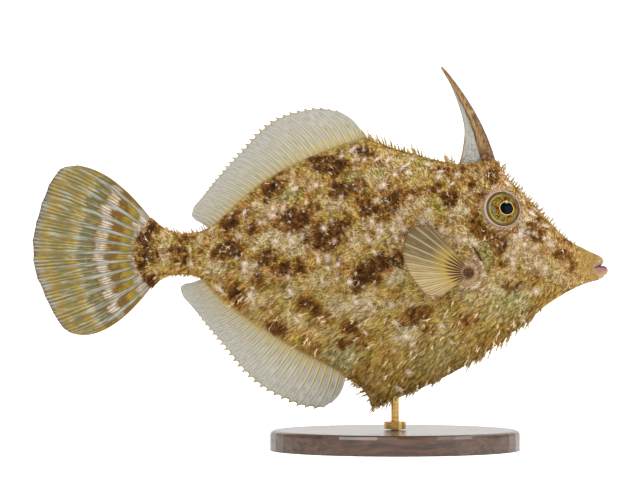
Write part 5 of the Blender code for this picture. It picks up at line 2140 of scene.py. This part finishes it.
@dataclass(frozen=True)
class LidFinish:
    """Pinkish-white lid with a dark inner edge and faint creases."""

    pale: Colour = shade(158, 134, 122)
    tan: Colour = shade(138, 110, 78)
    dark: Colour = shade(76, 50, 34)

    def build(self) -> Material:
        """Makes the material."""
        nodes = Nodes("filefish_lid")
        across, rear, mottle = nodes.carried("across"), nodes.carried("rear"), nodes.noise(0.5, 3.0)
        colour = nodes.mixed(mottle.level(0.4, 0.6), self.tan, self.pale).painted(
            (rear * 0.8, self.pale), (across.level(-0.45, -0.75), self.dark),
            (across.level(0.6, 0.95) * 0.6, self.tan),
        )
        return nodes.finished(colour, mottle, 0.06, Roughness=0.45)


@dataclass(frozen=True)
class Lip:
    """One soft roll round the end of the snout, thinner at the corners of the mouth."""

    name: str
    reach: float
    rise: float
    radius: float
    mouth: Point = (55.9, 36.6)
    half_width: float = 1.35
    setback: float = 2.0

    def place(self, around: Array, along: Array) -> Array:
        """The roll's surface.

        Args:
            around: Shares of the way round the roll.
            along: Shares of the way from one corner of the mouth to the other.

        Returns:
            A place for each pair.
        """
        turn, roll = math.pi * (along - 0.5), TAU * around
        share = np.cos(turn)
        crease = 1 + 0.035 * np.sin(turn * 26) * (0.5 + 0.5 * np.cos(roll))
        radius = self.radius * (0.15 + 0.85 * share**0.6) * dome(2 * along - 1, 12) * crease
        length = self.setback + self.reach - self.radius + radius * np.cos(roll)
        return columns(
            self.mouth[0] - self.setback + length * np.cos(turn),
            (self.half_width + radius * np.cos(roll)) * np.sin(turn),
            self.mouth[1] + self.rise * share - 0.25 * (1 - share) + radius * np.sin(roll),
        )

    def build(self, markings: Markings, finish: Material) -> None:
        """Makes the lip, which carries how far it faces into the mouth.

        Args:
            markings: The skin's markings, which it carries too.
            finish: Its material.
        """
        inward = -math.copysign(1.0, self.rise)
        facts = {"inner": lambda a, s: ease(0.45, 0.98, inward * np.sin(TAU * a + 0.35 * inward))}
        lip = sheet(self.name, (28, 60), self.place, facts)
        carry(lip, "markings", markings.colour(points_of(lip) / MM))
        settle(lip, finish, Slot.SKIN)


@dataclass(frozen=True)
class WoodFinish:
    """Dark stained wood with fine grain along the base, under satin varnish."""

    dark: Colour = shade(44, 28, 18)
    light: Colour = shade(86, 56, 36)

    def build(self) -> Material:
        """Makes the material."""
        nodes = Nodes("stand_dark_wood")
        grain = nodes.noise(0.9, 5.0, 0.6, nodes.place((0.08, 1.0, 1.0)))
        pores = nodes.noise(0.2, place=nodes.place((0.05, 1.0, 1.0))).level(0.58, 0.7) * 0.6
        colour = grain.ramp((0.35, self.dark), (0.62, self.light)).painted((pores, self.dark))
        return nodes.finished(colour, grain, 0.03, Roughness=0.36, Coat_Weight=0.35, Coat_Roughness=0.18)


@dataclass(frozen=True)
class BrassFinish:
    """Satin brass with faint turning marks."""

    tone: Colour = shade(216, 178, 106)
    worn: Colour = shade(176, 136, 74)

    def build(self) -> Material:
        """Makes the material."""
        nodes = Nodes("stand_brass")
        marks = nodes.noise(0.4, 3.0, place=nodes.place((0.15, 0.15, 4.0)))
        colour = nodes.mixed(marks.level(0.35, 0.7), self.worn, self.tone)
        return nodes.finished(colour, marks, 0.02, Metallic=1.0, Roughness=0.3)


class Stand:
    """The display stand, whose solids keep their shapes."""

    def build(self) -> None:
        """Dresses the base, the collar and the rod."""
        brass = BrassFinish().build()
        dress(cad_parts["stand_base"], WoodFinish().build(), Slot.WOOD)
        dress(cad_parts["stand_collar"], brass, Slot.METAL)
        dress(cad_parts["stand_rod"], brass, Slot.METAL)


@dataclass(frozen=True)
class Studio:
    """A near-white sweep, soft light from above and in front, and the camera."""

    distance: float = 533.3
    target: Point3 = (0.0, 0.0, 42.0)
    lens: float = 150.0
    sensor: float = 36.0
    sky: float = 0.42
    key: float = 1.35
    fill: float = 0.45
    spark: float = 0.87
    reach: float = 2.0
    wall: float = 0.9
    curve: float = 0.5
    glow: float = 0.6

    def sweep(self) -> Object:
        """A floor that curves up into a wall behind the model."""
        turns = [math.radians(angle) for angle in range(0, 91, 6)]
        profile = [(-self.reach, 0.0)]
        profile += [(self.wall + self.curve * math.sin(t), self.curve * (1 - math.cos(t))) for t in turns]
        profile.append((self.wall + self.curve, self.reach))
        deselect()
        bpy.ops.mesh.primitive_grid_add(x_subdivisions=1, y_subdivisions=len(profile) - 1, size=1.0)
        floor = named("sweep")
        flat = points_of(floor)
        step = np.rint((flat[:, 1] + 0.5) * (len(profile) - 1)).astype(int)
        move_points(floor, columns(flat[:, 0] * 4 * self.reach, *np.array(profile)[step].T) / MM)
        bpy.ops.object.shade_smooth()
        floor.data.materials.append(Nodes("sweep").finished(
            (0.93, 0.93, 0.92), Roughness=0.9, Emission_Color=(1.0, 1.0, 1.0), Emission_Strength=self.glow
        ))
        return floor

    def lamp(self, name: str, place: Point3, size: float, power: float) -> Object:
        """A square soft light, aimed at the model.

        Args:
            name: Its name.
            place: Where it hangs, in metres.
            size: Its side, in metres.
            power: Its power, in watts.

        Returns:
            The lamp.
        """
        deselect()
        aim = Vector(self.target) * MM - Vector(place)
        rotation = aim.to_track_quat("-Z", "Y").to_euler()
        bpy.ops.object.light_add(type="AREA", location=place, rotation=rotation)
        lamp = bpy.context.object
        lamp.name = name
        lamp.data.size, lamp.data.energy = size, power
        return lamp

    def build(self) -> None:
        """Sets up sweep, light and camera."""
        self.sweep()
        self.lamp("key", (-0.35, -0.75, 0.75), 0.45, self.key * 4)
        self.lamp("fill", (0.8, -0.6, 0.25), 0.6, self.fill * 4)
        self.lamp("spark", (0.519, -0.374, 0.617), 0.155, self.spark * 4)
        world = bpy.data.worlds.new("studio")
        bpy.context.scene.world = world
        world.use_nodes = True
        backdrop = world.node_tree.nodes["Background"]
        backdrop.inputs["Color"].default_value = (1.0, 0.99, 0.97, 1.0)
        backdrop.inputs["Strength"].default_value = self.sky
        deselect()
        x, y, z = (value * MM for value in self.target)
        bpy.ops.object.camera_add(location=(x, y - self.distance * MM, z), rotation=(math.pi / 2, 0, 0))
        camera = bpy.context.object
        camera.data.lens, camera.data.sensor_width = self.lens, self.sensor
        camera.data.clip_start, camera.data.clip_end = 0.01, 20.0
        camera.data.dof.use_dof = False
        bpy.context.scene.camera = camera
        bpy.context.scene.view_settings.view_transform = "Standard"
        log.info("studio: camera %.0f mm away", self.distance)


def write_size() -> None:
    """Does nothing: no box of the solids or of the finished model is written."""
    log.info("boxes written")


def main() -> None:
    """Builds the model's looks, piece by piece, and its studio."""
    logging.basicConfig(level=logging.INFO, format="%(message)s")
    form = BodyForm()
    markings = Markings(Relief(form))
    skin = Skin(markings)
    skin.build(SkinFinish().build())
    Coat(skin, Growth(), CoatFinish().build()).build()
    MiddleFins(form).build(RayFinish("filefish_fins").build(), TailFinish("filefish_tail").build())
    Spine().build(SpineFinish().build(), WebFinish().build())
    pectoral, eye, lid = PectoralFinish("filefish_pectoral").build(), EyeFinish().build(), LidFinish().build()
    for side in Side:
        PectoralFin(form, side).build(pectoral)
        Eye(form, side).ball(eye)
        Eye(form, side).lid(lid)
    lips = LipFinish().build()
    for name, reach, rise, radius in (
        ("upper_lip", 0.75, 1.2, 1.0), ("lower_lip", 1.65, -0.75, 1.0), ("chin", 0.95, -1.5, 0.85)
    ):
        Lip(name, reach, rise, radius).build(markings, lips)
    Stand().build()
    Studio().build()
    write_size()


if __name__ == "__main__":
    main()
